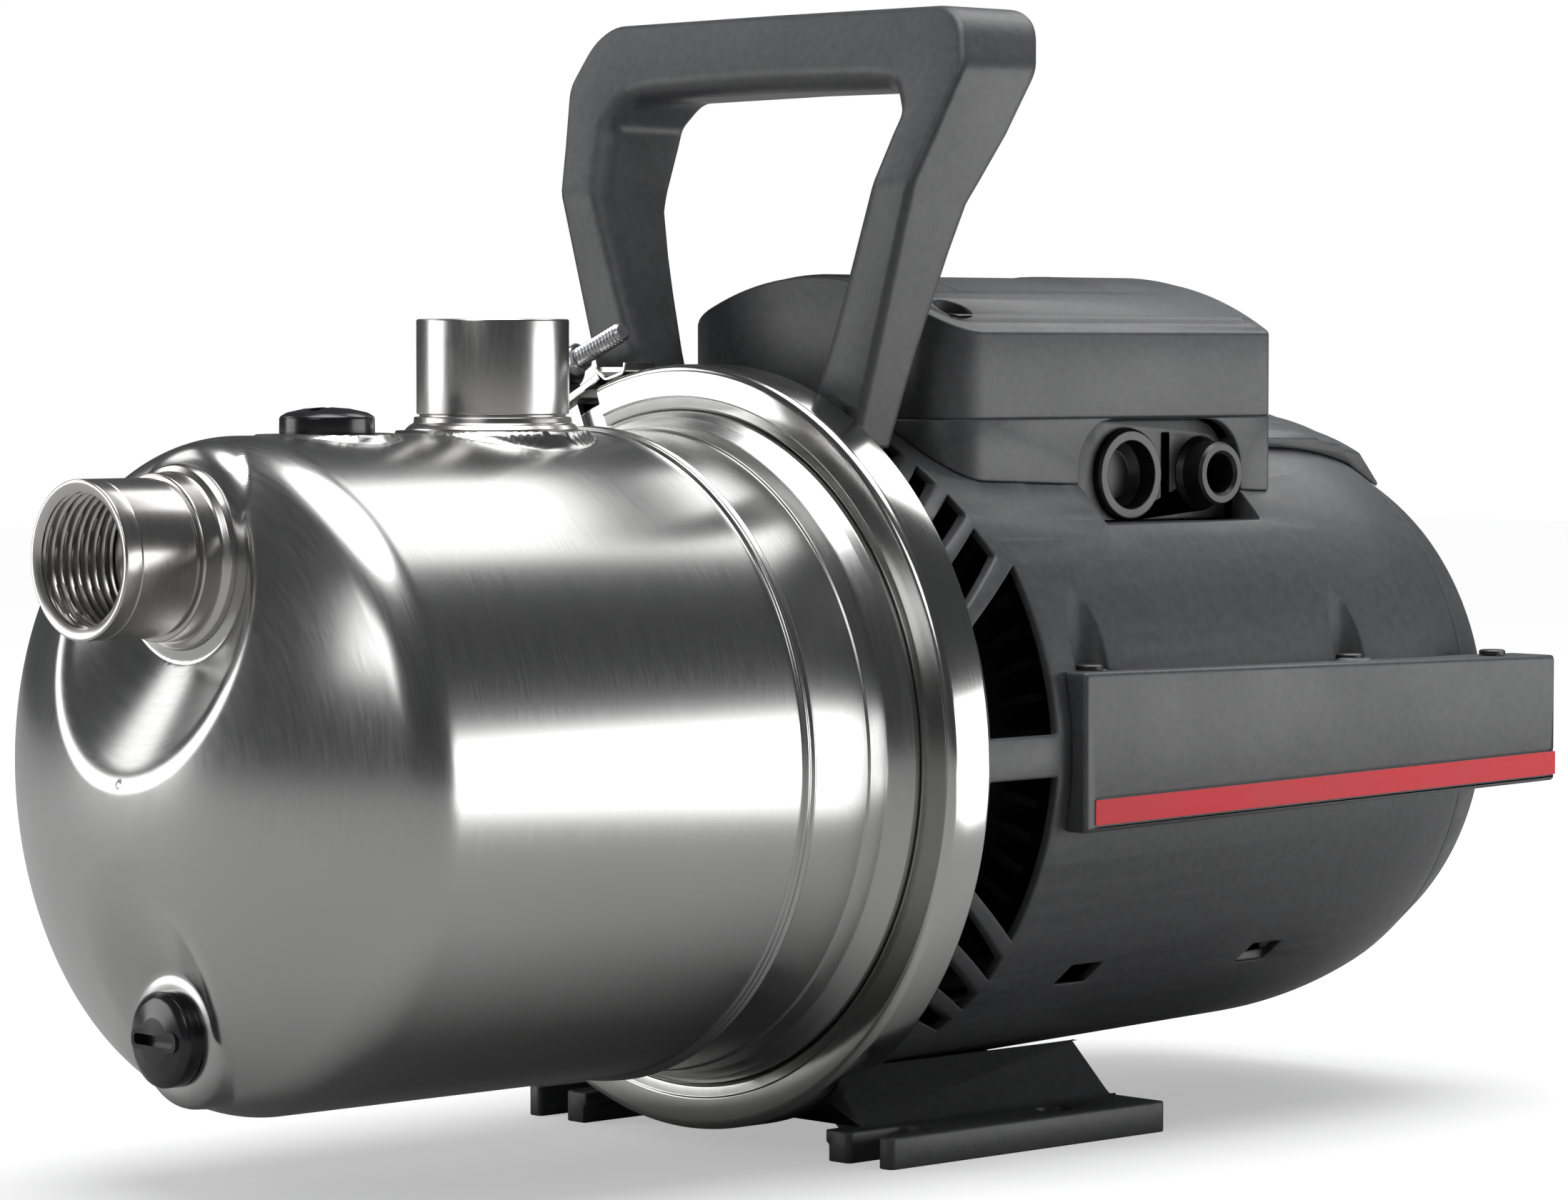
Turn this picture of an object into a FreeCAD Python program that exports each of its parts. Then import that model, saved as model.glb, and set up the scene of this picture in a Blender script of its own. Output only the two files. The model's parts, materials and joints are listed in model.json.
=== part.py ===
import FreeCAD, Part
import math
import os
import re
import Sketcher

# Shallow well jet pump. Millimetres. X runs along the shaft, from the suction end (-X) to the fan
# end (+X); Z is up; the origin is on the floor, midway between the two rear foot holes.

doc = FreeCAD.newDocument("JetPump")
V = FreeCAD.Vector

# ---------------------------------------------------------------- driving dimensions

SIZES = [
    ("axis_z", 97.5, "height of the shaft above the floor"),
    ("wall_t", 2.0, "sheet thickness of the pump sleeve"),
    ("sleeve_r", 77.4, "outside radius of the sleeve"),
    ("crown_x", -242.5, "front of the domed end"),
    ("crown_r", 122.2, "crown radius of the domed end"),
    ("knuckle_r", 15.0, "knuckle radius of the domed end"),
    ("bead_x", -103.4, "middle of the stiffening bead"),
    ("bead_r", 79.1, "radius over the bead"),
    ("flange_r", 89.5, "radius of the sleeve flange inside the clamp ring"),
    ("flange_x", -71.1, "front face of the sleeve flange"),
    ("port_r", 18.0, "outside radius of both ports"),
    ("thread_r", 15.15, "minor radius of the G1 port thread"),
    ("passage_r", 13.6, "radius of the passage behind the thread"),
    ("suction_z", 147.85, "height of the suction port"),
    ("suction_rim", -252.9, "open end of the suction port"),
    ("suction_seat", -224.3, "flat seat the suction port stands on"),
    ("suction_boss_r", 26.0, "radius of the pressed suction boss"),
    ("scoop_reach", 50.0, "radius of the suction scoop at the front of the dome"),
    ("drain_z", 39.4, "height of the drain plug"),
    ("drain_seat", -227.0, "flat seat of the drain plug"),
    ("drain_boss_r", 16.5, "radius of the pressed drain boss"),
    ("drain_reach", 38.5, "radius of the drain scoop at the front of the dome"),
    ("discharge_x", -132.6, "axis of the discharge port"),
    ("discharge_rim", 201.6, "open end of the discharge port"),
    ("pad_z", 175.4, "flat top of the pressed pad under the discharge port"),
    ("pad_r", 24.5, "radius of that pad"),
    ("priming_x", -182.5, "axis of the priming plug"),
    ("priming_z", 175.0, "flat seat of the priming plug"),
    ("plug_r", 11.0, "radius of the plug heads"),
    ("plug_shank_r", 7.95, "radius of the plug shanks"),
    ("plug_bore_r", 8.02, "radius of the bushes the plugs screw into"),
    ("ring_front", -72.8, "front of the clamp ring"),
    ("ring_back", -59.7, "back of the clamp ring"),
    ("ring_r", 93.4, "outside radius of the clamp ring"),
    ("ring_t", 1.6, "sheet thickness of the clamp ring"),
    ("ring_gap", 5.0, "angle of the gap in the clamp ring"),
    ("clamp_angle", 68.0, "angle of the clamp bolt around the shaft"),
    ("clamp_r", 104.8, "distance of the clamp bolt from the shaft"),
    ("clamp_bolt_r", 2.5, "radius of the clamp bolt"),
    ("rim_r", 84.0, "outside radius of the motor bracket"),
    ("shell_front", -56.2, "front of the motor shell"),
    ("shell_front_r", 84.4, "shell radius at its front"),
    ("shell_mid_x", 104.0, "end of the conical part of the shell"),
    ("shell_mid_r", 79.6, "shell radius there"),
    ("shell_end", 135.8, "back of the shell"),
    ("shell_end_r", 74.4, "shell radius at its back"),
    ("shell_t", 2.5, "wall of the shell"),
    ("cowl_end", 158.0, "back of the fan cowl"),
    ("box_front", -33.0, "front wall of the terminal box"),
    ("box_back", 84.0, "back wall of the terminal box"),
    ("box_mid", -3.8, "middle plane of the terminal box"),
    ("box_half", 48.7, "half width of the terminal box"),
    ("box_corner", 12.5, "corner radius at the front of the terminal box"),
    ("box_split", 177.6, "parting line between base and lid"),
    ("box_wall", 2.5, "wall of the terminal box"),
    ("lid_top", 212.5, "crest of the lid rim"),
    ("lid_bow_r", 92.3, "bow radius of the lid"),
    ("bar_face", -88.5, "front face of the side bar"),
    ("bar_front", -22.6, "front end of the side bar"),
    ("bar_back", 155.0, "back end of the side bar"),
    ("handle_front", -56.9, "front face of the handle legs"),
    ("handle_back", -43.5, "back face of the handle legs"),
    ("handle_knee_z", 234.0, "height where the handle starts to lean back"),
    ("handle_screw_y", 37.5, "handle screws to centre line"),
    ("handle_screw_z", 178.0, "height of the handle screws"),
    ("handle_top", 276.8, "top of the handle"),
    ("foot_t", 7.6, "thickness of the foot plates"),
    ("foot_inner", 44.5, "inner edge of a foot plate"),
    ("foot_outer", 66.0, "outer edge of a foot plate"),
    ("foot_front", -65.5, "front end of the foot plates"),
    ("foot_back", 30.3, "back end of the foot plates"),
    ("hole_y", 56.3, "foot hole to centre line"),
    ("hole_r", 4.5, "radius of the rear foot holes"),
    ("slot_w", 9.6, "width of the open foot slots"),
    ("slot_end", -50.3, "centre of the round end of the foot slots"),
    ("shaft_r", 7.48, "shaft radius in the bearings"),
    ("bearing_r", 17.5, "outside radius of a bearing"),
    ("bearing_bore", 7.5, "bore radius of a bearing"),
    ("bearing_w", 11.0, "width of a bearing"),
    ("bearing_front", -56.0, "front face of the drive end bearing"),
    ("bearing_back", 93.0, "front face of the fan end bearing"),
    ("pitch_r", 12.5, "pitch radius of the balls"),
    ("ball_r", 2.98, "ball radius"),
    ("race_r", 3.04, "radius of the race grooves"),
    ("ball_count", 8, "balls in a bearing"),
    ("frame_r", 58.0, "outside radius of the motor frame"),
    ("stator_r", 52.0, "outside radius of the stator"),
    ("bore_r", 28.5, "stator bore radius"),
    ("rotor_r", 28.0, "rotor core radius"),
    ("core_front", -10.0, "front of the stator and rotor cores"),
    ("core_back", 60.0, "back of the stator and rotor cores"),
    ("fin_r", 70.0, "radius over the motor fins"),
    ("fin_count", 50, "fins around the motor frame"),
    ("tie_r", 73.6, "pitch radius of the tie rods"),
    ("impeller_r", 55.0, "impeller radius"),
    ("vane_count", 6, "impeller vanes"),
    ("fan_r", 60.0, "fan radius"),
    ("blade_count", 9, "fan blades"),
    ("entry_x", 62.4, "axis of the fitted cable entry"),
    ("spare_x", 34.7, "axis of the spare cable entry"),
    ("entry_z", 163.2, "height of both cable entries"),
    ("entry_r", 5.0, "bore radius of the cable grommet"),
]

sheet = doc.addObject("Spreadsheet::Sheet", "Dims")
for row, (alias, number, note) in enumerate(SIZES, start=1):
    sheet.set("A%d" % row, alias)
    sheet.set("B%d" % row, str(number))
    sheet.set("C%d" % row, note)
    sheet.setAlias("B%d" % row, alias)
doc.recompute()


def ex(text):
    """Expression text with each sheet name spelt in full."""
    return re.sub(r"\b([a-z]+(?:_[a-z]+)+)\b", r"Dims.\1", str(text))


def num(text):
    return float(sheet.evalExpression(ex(text)))


def bind(item, prop, text):
    item.setExpression(prop, ex(text))


# ---------------------------------------------------------------- building blocks

def add(kind, name):
    item = doc.addObject(kind, name)
    item.Label = name
    return item


def move(item, at, turn=None):
    """Put an object at three expressions, turned by an optional rotation."""
    item.Placement = FreeCAD.Placement(V(0, 0, 0), turn or FreeCAD.Rotation())
    for letter, text in zip("xyz", at):
        if str(text) != "0":
            bind(item, ".Placement.Base." + letter, text)
    return item


def origin_item(body, role):
    return [item for item in body.Origin.OriginFeatures if item.Role == role][0]


def new_sketch(body, plane):
    sketch = body.newObject("Sketcher::SketchObject", body.Name + "Sketch")
    sketch.AttachmentSupport = (origin_item(body, plane), [""])
    sketch.MapMode = "FlatFace"
    return sketch


def arc_between(start, end, radius):
    """Short arc of a radius; its centre is to the left of the way when the radius is positive."""
    along = end - start
    left = V(-along.y, along.x, 0).normalize() * math.copysign(1.0, radius)
    height = math.sqrt(radius * radius - (along.Length / 2) ** 2)
    centre = (start + end) * 0.5 + left * height
    return Part.Arc(start, centre - left * abs(radius), end)


def outline(sketch, corners):
    """Closed outline. A corner is (x, y), or (x, y, radius) when an arc leaves it."""
    points = [V(num(corner[0]), num(corner[1]), 0) for corner in corners]
    sides = []
    for index, corner in enumerate(corners):
        start = points[index]
        end = points[(index + 1) % len(points)]
        if len(corner) == 3:
            side = sketch.addGeometry(arc_between(start, end, num(corner[2])))
            first = 1 if (sketch.getPoint(side, 1) - start).Length < 1e-6 else 2
            size = Sketcher.Constraint("Radius", side, abs(num(corner[2])))
            sketch.setExpression("Constraints[%d]" % sketch.addConstraint(size),
                                 "abs(%s)" % ex(corner[2]))
        else:
            side = sketch.addGeometry(Part.LineSegment(start, end))
            first = 1
        sides.append((side, first))
    for index, corner in enumerate(corners):
        side, first = sides[index]
        before, opening = sides[index - 1]
        sketch.addConstraint(Sketcher.Constraint("Coincident", before, 3 - opening, side, first))
        for kind, axis, text in (("DistanceX", -2, corner[0]), ("DistanceY", -1, corner[1])):
            if str(text) == "0":
                sketch.addConstraint(Sketcher.Constraint("PointOnObject", side, first, axis))
            else:
                rule = Sketcher.Constraint(kind, -1, 1, side, first, num(text))
                sketch.setExpression("Constraints[%d]" % sketch.addConstraint(rule), ex(text))


def ring_outline(sketch, x, y, radius):
    circle = sketch.addGeometry(Part.Circle(V(num(x), num(y), 0), V(0, 0, 1), num(radius)))
    rules = [("DistanceX", -2, x), ("DistanceY", -1, y)]
    for kind, axis, text in rules:
        if str(text) == "0":
            sketch.addConstraint(Sketcher.Constraint("PointOnObject", circle, 3, axis))
        else:
            rule = Sketcher.Constraint(kind, -1, 1, circle, 3, num(text))
            sketch.setExpression("Constraints[%d]" % sketch.addConstraint(rule), ex(text))
    size = sketch.addConstraint(Sketcher.Constraint("Radius", circle, num(radius)))
    sketch.setExpression("Constraints[%d]" % size, ex(radius))


def turned(name, corners, at=("0", "0", "axis_z"), axis="X_Axis", angle="360", turn=None):
    """Body turned about its own X or Z axis from an outline in its XZ plane."""
    body = add("PartDesign::Body", name)
    sketch = new_sketch(body, "XZ_Plane")
    outline(sketch, corners)
    spin = body.newObject("PartDesign::Revolution", name + "Turn")
    spin.Profile = sketch
    spin.ReferenceAxis = (origin_item(body, axis), [""])
    bind(spin, "Angle", angle)
    return move(body, at, turn)


def padded(name, plane, shapes, length, at=("0", "0", "0"), turn=None):
    """Body padded both ways from one of its origin planes. Shapes are outlines or (x, y, r) rings."""
    body = add("PartDesign::Body", name)
    sketch = new_sketch(body, plane)
    for shape in shapes:
        if isinstance(shape, tuple):
            ring_outline(sketch, *shape)
        else:
            outline(sketch, shape)
    pad = body.newObject("PartDesign::Pad", name + "Pad")
    pad.Profile = sketch
    pad.SideType = "Symmetric"
    bind(pad, "Length", length)
    return move(body, at, turn)


TURNS = {"X": FreeCAD.Rotation(V(0, 1, 0), 90), "Y": FreeCAD.Rotation(V(1, 0, 0), -90),
         "Z": FreeCAD.Rotation()}


def rod(name, radius, length, at, axis="Z"):
    """Cylinder that starts at a point and runs along +X, +Y or +Z."""
    item = add("Part::Cylinder", name)
    bind(item, "Radius", radius)
    bind(item, "Height", length)
    return move(item, at, TURNS[axis])


def cone(name, radius, far_radius, length, at, axis="X"):
    item = add("Part::Cone", name)
    bind(item, "Radius1", radius)
    bind(item, "Radius2", far_radius)
    bind(item, "Height", length)
    return move(item, at, TURNS[axis])


def box(name, low, size):
    item = add("Part::Box", name)
    for prop, text in zip(("Length", "Width", "Height"), size):
        bind(item, prop, text)
    return move(item, low)


def torus(name, major, minor, at, axis="X"):
    item = add("Part::Torus", name)
    bind(item, "Radius1", major)
    bind(item, "Radius2", minor)
    return move(item, at, TURNS[axis])


def fuse(name, items):
    item = add("Part::MultiFuse", name)
    item.Shapes = items
    return item


def common(name, items):
    item = add("Part::MultiCommon", name)
    item.Shapes = items
    return item


def cut(name, base, tools):
    item = add("Part::Cut", name)
    item.Base = base
    item.Tool = tools[0] if len(tools) == 1 else fuse(name + "Tools", tools)
    return item


def rounded(name, base, radius, wanted, kind="Part::Fillet"):
    """Part::Fillet, or Part::Chamfer, on the edges whose middle point passes a test."""
    doc.recompute()
    size = num(radius)
    edges = []
    for index, edge in enumerate(base.Shape.Edges, start=1):
        middle = edge.valueAt((edge.FirstParameter + edge.LastParameter) / 2)
        if wanted(middle, edge):
            edges.append((index, size, size))
    item = add(kind, name)
    item.Base = base
    item.Edges = edges
    return item


def spread(name, item, count, axis=V(1, 0, 0), centre=None):
    """Part::Feature holding copies of an object turned evenly about the shaft."""
    doc.recompute()
    centre = centre or V(0, 0, num("axis_z"))
    total = int(num(count))
    copies = []
    for index in range(total):
        copy = item.Shape.copy()
        copy.rotate(centre, axis, 360.0 * index / total)
        copies.append(copy)
    group = add("Part::Feature", name)
    group.Shape = Part.makeCompound(copies)
    return group


def screw(name, at, way, head_r, head_t, shank_r, length):
    """Screw whose head sits outside a point and whose shank runs along a direction."""
    corners = [("0 - %s" % head_t, 0), ("0 - %s" % head_t, "%s * 0.86" % head_r),
               ("0 - %s * 0.75" % head_t, head_r), ("0 - 0.01", head_r), ("0 - 0.01", shank_r),
               ("%s - 0.8" % length, shank_r), (length, "%s - 0.8" % shank_r), (length, 0)]
    corners = [(str(x), str(y)) for x, y in corners]
    return turned(name, corners, at, turn=FreeCAD.Rotation(V(1, 0, 0), way))


# ---------------------------------------------------------------- pump sleeve

sleeve_form = turned("SleeveForm", [
    ("crown_x", "0"),
    ("flange_x + 1.9", "0"), ("flange_x + 1.9", "flange_r"), ("flange_x", "flange_r"),
    ("flange_x", "81.9"), ("-73.4", "81.9"), ("-75.6", "80.0"), ("-78.6", "79.0"), ("-84", "78.1"),
    ("-84.6", "sleeve_r"), ("bead_x + 2.6", "sleeve_r"), ("bead_x + 1.4", "bead_r"),
    ("bead_x + 0.7", "bead_r"), ("bead_x", "bead_r - 0.9"), ("bead_x - 0.7", "bead_r"),
    ("bead_x - 1.4", "bead_r"), ("bead_x - 2.6", "sleeve_r"),
    ("crown_x + crown_r - sqrt(crown_r^2 - sleeve_r^2)", "sleeve_r", "crown_r"),
])
sleeve_soft = rounded("SleeveSoft", sleeve_form, "knuckle_r",
                      lambda p, e: abs(p.x - num("crown_x + crown_r - sqrt(crown_r^2 - sleeve_r^2)")) < 0.1)
cavity_form = turned("CavityForm", [
    ("crown_x + wall_t", "0"),
    ("flange_x + 5", "0"), ("flange_x + 5", "80.2"), ("-73.0", "80.2"), ("-75.0", "78.2"),
    ("-80", "sleeve_r - wall_t"),
    ("crown_x + crown_r - sqrt((crown_r - wall_t)^2 - (sleeve_r - wall_t)^2)", "sleeve_r - wall_t",
     "crown_r - wall_t"),
])
cavity_soft = rounded("CavitySoft", cavity_form, "knuckle_r - wall_t", lambda p, e: abs(
    p.x - num("crown_x + crown_r - sqrt((crown_r - wall_t)^2 - (sleeve_r - wall_t)^2)")) < 0.1)


def boss(name, seat, radius, height, soft, depth):
    """Pressed boss that stands out of the dome, with a rounded front edge."""
    plain = rod(name + "Plain", radius, depth, (seat, "0", height), "X")
    front = num(seat)
    return rounded(name, plain, soft, lambda p, e: abs(p.x - front) < 0.01 and e.Closed)


def scoop(name, seat, inner, height, reach):
    """Conical cut that widens from a seat to the front of the dome."""
    flare = cone(name + "Flare", reach + " + (" + reach + " - " + inner + ") * 0.4", inner,
                 "(%s - crown_x) * 1.4" % seat,
                 ("%s - (%s - crown_x) * 1.4" % (seat, seat), "0", height))
    return flare


suction_boss = boss("SuctionBoss", "suction_seat", "suction_boss_r", "suction_z", "7.0", "26")
drain_boss = boss("DrainBoss", "drain_seat", "drain_boss_r", "drain_z", "4.5", "24")
suction_room = boss("SuctionRoom", "suction_seat + wall_t", "suction_boss_r - wall_t", "suction_z",
                    "5.0", "26")
drain_room = boss("DrainRoom", "drain_seat + wall_t", "drain_boss_r - wall_t", "drain_z", "2.5", "24")
pad_boss = rod("PadBoss", "pad_r", "25", ("discharge_x", "0", "pad_z - 25"))
pad_room = rod("PadRoom", "pad_r - wall_t", "25", ("discharge_x", "0", "pad_z - 25 - wall_t"))
priming_boss = rod("PrimingBoss", "18", "20", ("priming_x", "0", "priming_z - 20"))
suction_scoop = scoop("SuctionScoop", "suction_seat", "24", "suction_z", "scoop_reach")
suction_wall = scoop("SuctionWall", "suction_seat + wall_t", "24 + wall_t * 0.8", "suction_z",
                     "scoop_reach + wall_t * 0.8")
drain_scoop = scoop("DrainScoop", "drain_seat", "14.5", "drain_z", "drain_reach")
drain_wall = scoop("DrainWall", "drain_seat + wall_t", "14.5 + wall_t * 0.8", "drain_z",
                   "drain_reach + wall_t * 0.8")
sleeve_outer = cut("SleeveOuter", fuse("SleevePressed", [sleeve_soft, pad_boss, priming_boss]),
                   [suction_scoop, drain_scoop])
sleeve_bossed = fuse("SleeveBossed", [sleeve_outer, suction_boss, drain_boss])
cavity_scooped = cut("CavityScooped", cavity_soft, [suction_wall, drain_wall])
cavity_all = fuse("CavityAll", [cavity_scooped, suction_room, drain_room, pad_room])
pump_sleeve = cut("pump_sleeve", sleeve_bossed, [
    cavity_all,
    rod("SuctionHole", "17.05", "20", ("suction_seat - 8", "0", "suction_z"), "X"),
    rod("DrainHole", "10.2", "14", ("drain_seat - 4", "0", "drain_z"), "X"),
    rod("DischargeHole", "17.05", "20", ("discharge_x", "0", "pad_z - 10")),
    rod("PrimingHole", "10.2", "14", ("priming_x", "0", "priming_z - 10")),
])

# ---------------------------------------------------------------- ports, plugs and bushes

turned("suction_port", [
    ("suction_rim", "thread_r + 1.5"), ("suction_rim", "port_r - 0.4"), ("suction_rim + 0.4", "port_r"),
    ("suction_rim + 19.6", "port_r"), ("suction_rim + 19.6", "port_r - 0.7"),
    ("suction_rim + 20.4", "port_r - 0.7"), ("suction_rim + 20.4", "port_r + 1"),
    ("suction_rim + 26", "port_r + 1"), ("suction_rim + 27", "port_r + 3.6"),
    ("suction_seat - 0.05", "port_r + 3.6"), ("suction_seat - 0.05", "17"), ("suction_seat + 5", "17"),
    ("suction_seat + 5", "passage_r"), ("suction_rim + 23", "passage_r"),
    ("suction_rim + 21.9", "thread_r"), ("suction_rim + 1.5", "thread_r"),
], ("0", "0", "suction_z"))
turned("discharge_port", [
    ("thread_r", "discharge_rim - 1.5"), ("thread_r", "pad_z + 6.2"), ("passage_r", "pad_z + 5"),
    ("passage_r", "pad_z - 6"), ("17", "pad_z - 6"), ("17", "pad_z + 0.05"),
    ("port_r + 3", "pad_z + 0.05"), ("port_r + 2.6", "pad_z + 0.9"), ("port_r + 1", "pad_z + 1.4"),
    ("port_r + 0.9", "pad_z + 3.2"), ("port_r - 0.7", "pad_z + 3.2"), ("port_r - 0.7", "pad_z + 3.8"),
    ("port_r", "pad_z + 3.8"), ("port_r", "discharge_rim - 0.4"), ("port_r - 0.4", "discharge_rim"),
    ("thread_r + 1.5", "discharge_rim"),
], ("discharge_x", "0", "0"), "Z_Axis")


def plug(name, at, turn):
    """Slotted plug along its own +Z: the seat is at zero and the shank below it."""
    form = turned(name + "Form", [
        ("0", "0 - 12"), ("plug_shank_r - 0.8", "0 - 12"), ("plug_shank_r", "0 - 11.2"),
        ("plug_shank_r", "1.9"), ("10.3", "1.9"), ("10.3", "0.15"), ("plug_r", "0.15"),
        ("plug_r", "4.2"), ("plug_r - 0.6", "4.6", "26.8"), ("0", "6.3"),
    ], at, "Z_Axis", turn=turn)
    slot = box(name + "Slot", ("0", "0", "0"), ("13.4", "2.4", "4"))
    slot.Placement = form.Placement.multiply(FreeCAD.Placement(V(-6.7, -1.2, 3.7), FreeCAD.Rotation()))
    doc.recompute()
    slot.Placement = form.Placement.multiply(FreeCAD.Placement(V(-6.7, -1.2, 3.7), FreeCAD.Rotation()))
    return cut(name, form, [slot])


FORWARD = FreeCAD.Rotation(V(0, 1, 0), -90)
plug("priming_plug", ("priming_x", "0", "priming_z"), FreeCAD.Rotation(V(0, 0, 1), 24))
plug("drain_plug", ("drain_seat", "0", "drain_z"), FORWARD.multiply(FreeCAD.Rotation(V(0, 0, 1), 90)))
torus("priming_oring", "9.2", "0.85", ("priming_x", "0", "priming_z + 0.95"), "Z")
torus("drain_oring", "9.2", "0.85", ("drain_seat - 0.95", "0", "drain_z"), "X")

bush_corners = [("plug_bore_r", "0 - 0.3"), ("10.1", "0 - 0.3"), ("10.1", "0 - 3.2"), ("12", "0 - 3.2"),
                ("12", "0 - 12"), ("plug_bore_r", "0 - 12")]
priming_bush = turned("PrimingBush", bush_corners, ("priming_x", "0", "priming_z"), "Z_Axis")
drain_bush = turned("DrainBush", bush_corners, ("drain_seat", "0", "drain_z"), "Z_Axis", turn=FORWARD)
fuse("plug_bushes", [priming_bush, drain_bush])

# ---------------------------------------------------------------- clamp ring and its bolt

CLAMP_TURN = FreeCAD.Rotation(V(1, 0, 0), num("clamp_angle") - 90)
turned("clamp_ring", [
    ("ring_front", "82.7"), ("ring_front + ring_t", "82.7"), ("ring_front + ring_t", "ring_r - 1.6"),
    ("ring_back - ring_t", "ring_r - 1.6"), ("ring_back - ring_t", "84.8"), ("ring_back", "84.8"),
    ("ring_back", "ring_r - 0.9"), ("ring_back - 0.9", "ring_r"), ("ring_front + 1.6", "ring_r"),
    ("ring_front", "ring_r - 1.6"),
], angle="360 - ring_gap",
    turn=FreeCAD.Rotation(V(1, 0, 0), num("clamp_angle") - 90 + num("ring_gap") / 2))


def at_clamp(item, x, y, z):
    """Place an object given where it would be with the clamp bolt at the top of the ring."""
    spot = V(num(x), 0, num("axis_z")) + CLAMP_TURN.multVec(V(0, num(y), num(z)))
    item.Placement = FreeCAD.Placement(spot, CLAMP_TURN.multiply(item.Placement.Rotation))
    return item


def band_piece(name, start, end, height):
    """Strip that follows the band between two distances along it."""
    outer = rod(name + "Outer", "ring_r + %s" % height, "10", ("0", "0", "0"), "X")
    inner = rod(name + "Inner", "ring_r + 0.1", "12", ("0", "0", "0"), "X")
    outer.Placement.Base = V(num("(ring_front + ring_back) / 2 - 5"), 0, num("axis_z"))
    inner.Placement.Base = V(num("(ring_front + ring_back) / 2 - 6"), 0, num("axis_z"))
    window = at_clamp(box(name + "Window", ("0", "0", "0"), ("10", "%g" % (end - start), "9")),
                      "(ring_front + ring_back) / 2 - 5", "0 + %g" % start, "ring_r - 5")
    return cut(name, common(name + "Seat", [outer, window]), [inner])


def lug_box(name, start, low, size):
    return at_clamp(box(name, ("0", "0", "0"), ("10", size[0], size[1])),
                    "(ring_front + ring_back) / 2 - 5", "0 + %g" % start, low)


near_lug = fuse("NearLug", [band_piece("NearSole", -13.5, -3.5, 1.5),
                            lug_box("NearTab", -13.5, "ring_r", ("1.4", "2.4")),
                            lug_box("NearCurl", -4.9, "ring_r + 0.4", ("1.4", "4.6"))])
lug_bore = at_clamp(rod("LugBore", "clamp_bolt_r + 0.1", "16", ("0", "0", "0"), "Y"),
                    "(ring_front + ring_back) / 2", "6", "clamp_r")
lug_barrel = at_clamp(rod("LugBarrel", "4.6", "10", ("0", "0", "0"), "X"),
                      "(ring_front + ring_back) / 2 - 5", "0 + 14.2", "clamp_r")
far_lug = cut("FarLug", fuse("FarFolded", [
    band_piece("Strap", -2.6, 24.0, 1.5),
    lug_box("StrapWeb", 13.0, "ring_r - 0.2", ("2.4", "clamp_r - ring_r - 1.5")), lug_barrel]), [lug_bore])
fuse("clamp_lugs", [near_lug, far_lug])
stud = at_clamp(rod("ClampStud", "clamp_bolt_r", "32", ("0", "0", "0"), "Y"),
                "(ring_front + ring_back) / 2", "0 - 11.5", "clamp_r")
stud_head = at_clamp(rod("ClampHead", "4.4", "3", ("0", "0", "0"), "Y"),
                     "(ring_front + ring_back) / 2", "19.2", "clamp_r")
fuse("clamp_bolt", [stud, stud_head])
nut_form = padded("ClampNutForm", "XZ_Plane", [
    [("4.05 * cos(%d)" % a, "4.05 * sin(%d)" % a) for a in (0, 60, 120, 180, 240, 300)],
    ("0", "0", "clamp_bolt_r + 0.05")], "4")
nut_form.Label = "clamp_nut"
at_clamp(nut_form, "(ring_front + ring_back) / 2", "7.3", "clamp_r")

# ---------------------------------------------------------------- pump cover, gasket, motor bracket

turned("pump_cover", [
    ("flange_x + 2.0", "17"), ("flange_x + 2.0", "flange_r"), ("flange_x + 5.0", "flange_r"),
    ("flange_x + 5.0", "30"), ("-62.5", "30"), ("-62.5", "10.5"), ("-65.5", "10.5"), ("-65.5", "17"),
])
torus("housing_oring", "77.6", "1.7", ("-71.2", "0", "axis_z"), "X")

bracket_form = turned("BracketForm", [
    ("flange_x + 5.1", "32"), ("flange_x + 5.1", "flange_r"), ("-61.4", "flange_r"), ("-61.4", "rim_r"),
    ("-57.0", "rim_r"), ("-57.0", "26"), ("bearing_front + bearing_w + 1", "26"),
    ("bearing_front + bearing_w + 1", "bearing_r + 0.02"), ("bearing_front", "bearing_r + 0.02"),
    ("bearing_front", "12"), ("-62.4", "12"), ("-62.4", "32"),
])
bracket_spigot = turned("BracketSpigot", [("-57.2", "60"), ("-57.2", "66"), ("-34", "66"), ("-34", "60")])
ears = []
for index, side in enumerate((1, -1)):
    ears.append(rod("BracketEar%d" % index, "4.5", "2.3",
                    ("-59.3", "handle_screw_y * %d" % side, "handle_screw_z"), "X"))
    ears.append(box("BracketEarWeb%d" % index, ("-59.3", "handle_screw_y * %d - 4.5" % side, "156"),
                    ("2.3", "9", "handle_screw_z - 156")))
tie_holes = []
tie_spots = [(math.cos(math.radians(a)), math.sin(math.radians(a))) for a in (60, 120, 240, 300)]
for index, (y, z) in enumerate(tie_spots):
    tie_holes.append(rod("TieHole%d" % index, "2.5", "8",
                         ("-63.5", "tie_r * %.6f" % y, "axis_z + tie_r * %.6f" % z), "X"))
ear_holes = [rod("EarHole%d" % i, "2.1", "6", ("-62", "handle_screw_y * %d" % s, "handle_screw_z"), "X")
             for i, s in enumerate((1, -1))]
cut("motor_bracket", fuse("BracketWhole", [bracket_form, bracket_spigot] + ears), tie_holes + ear_holes)

# ---------------------------------------------------------------- handle

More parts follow.
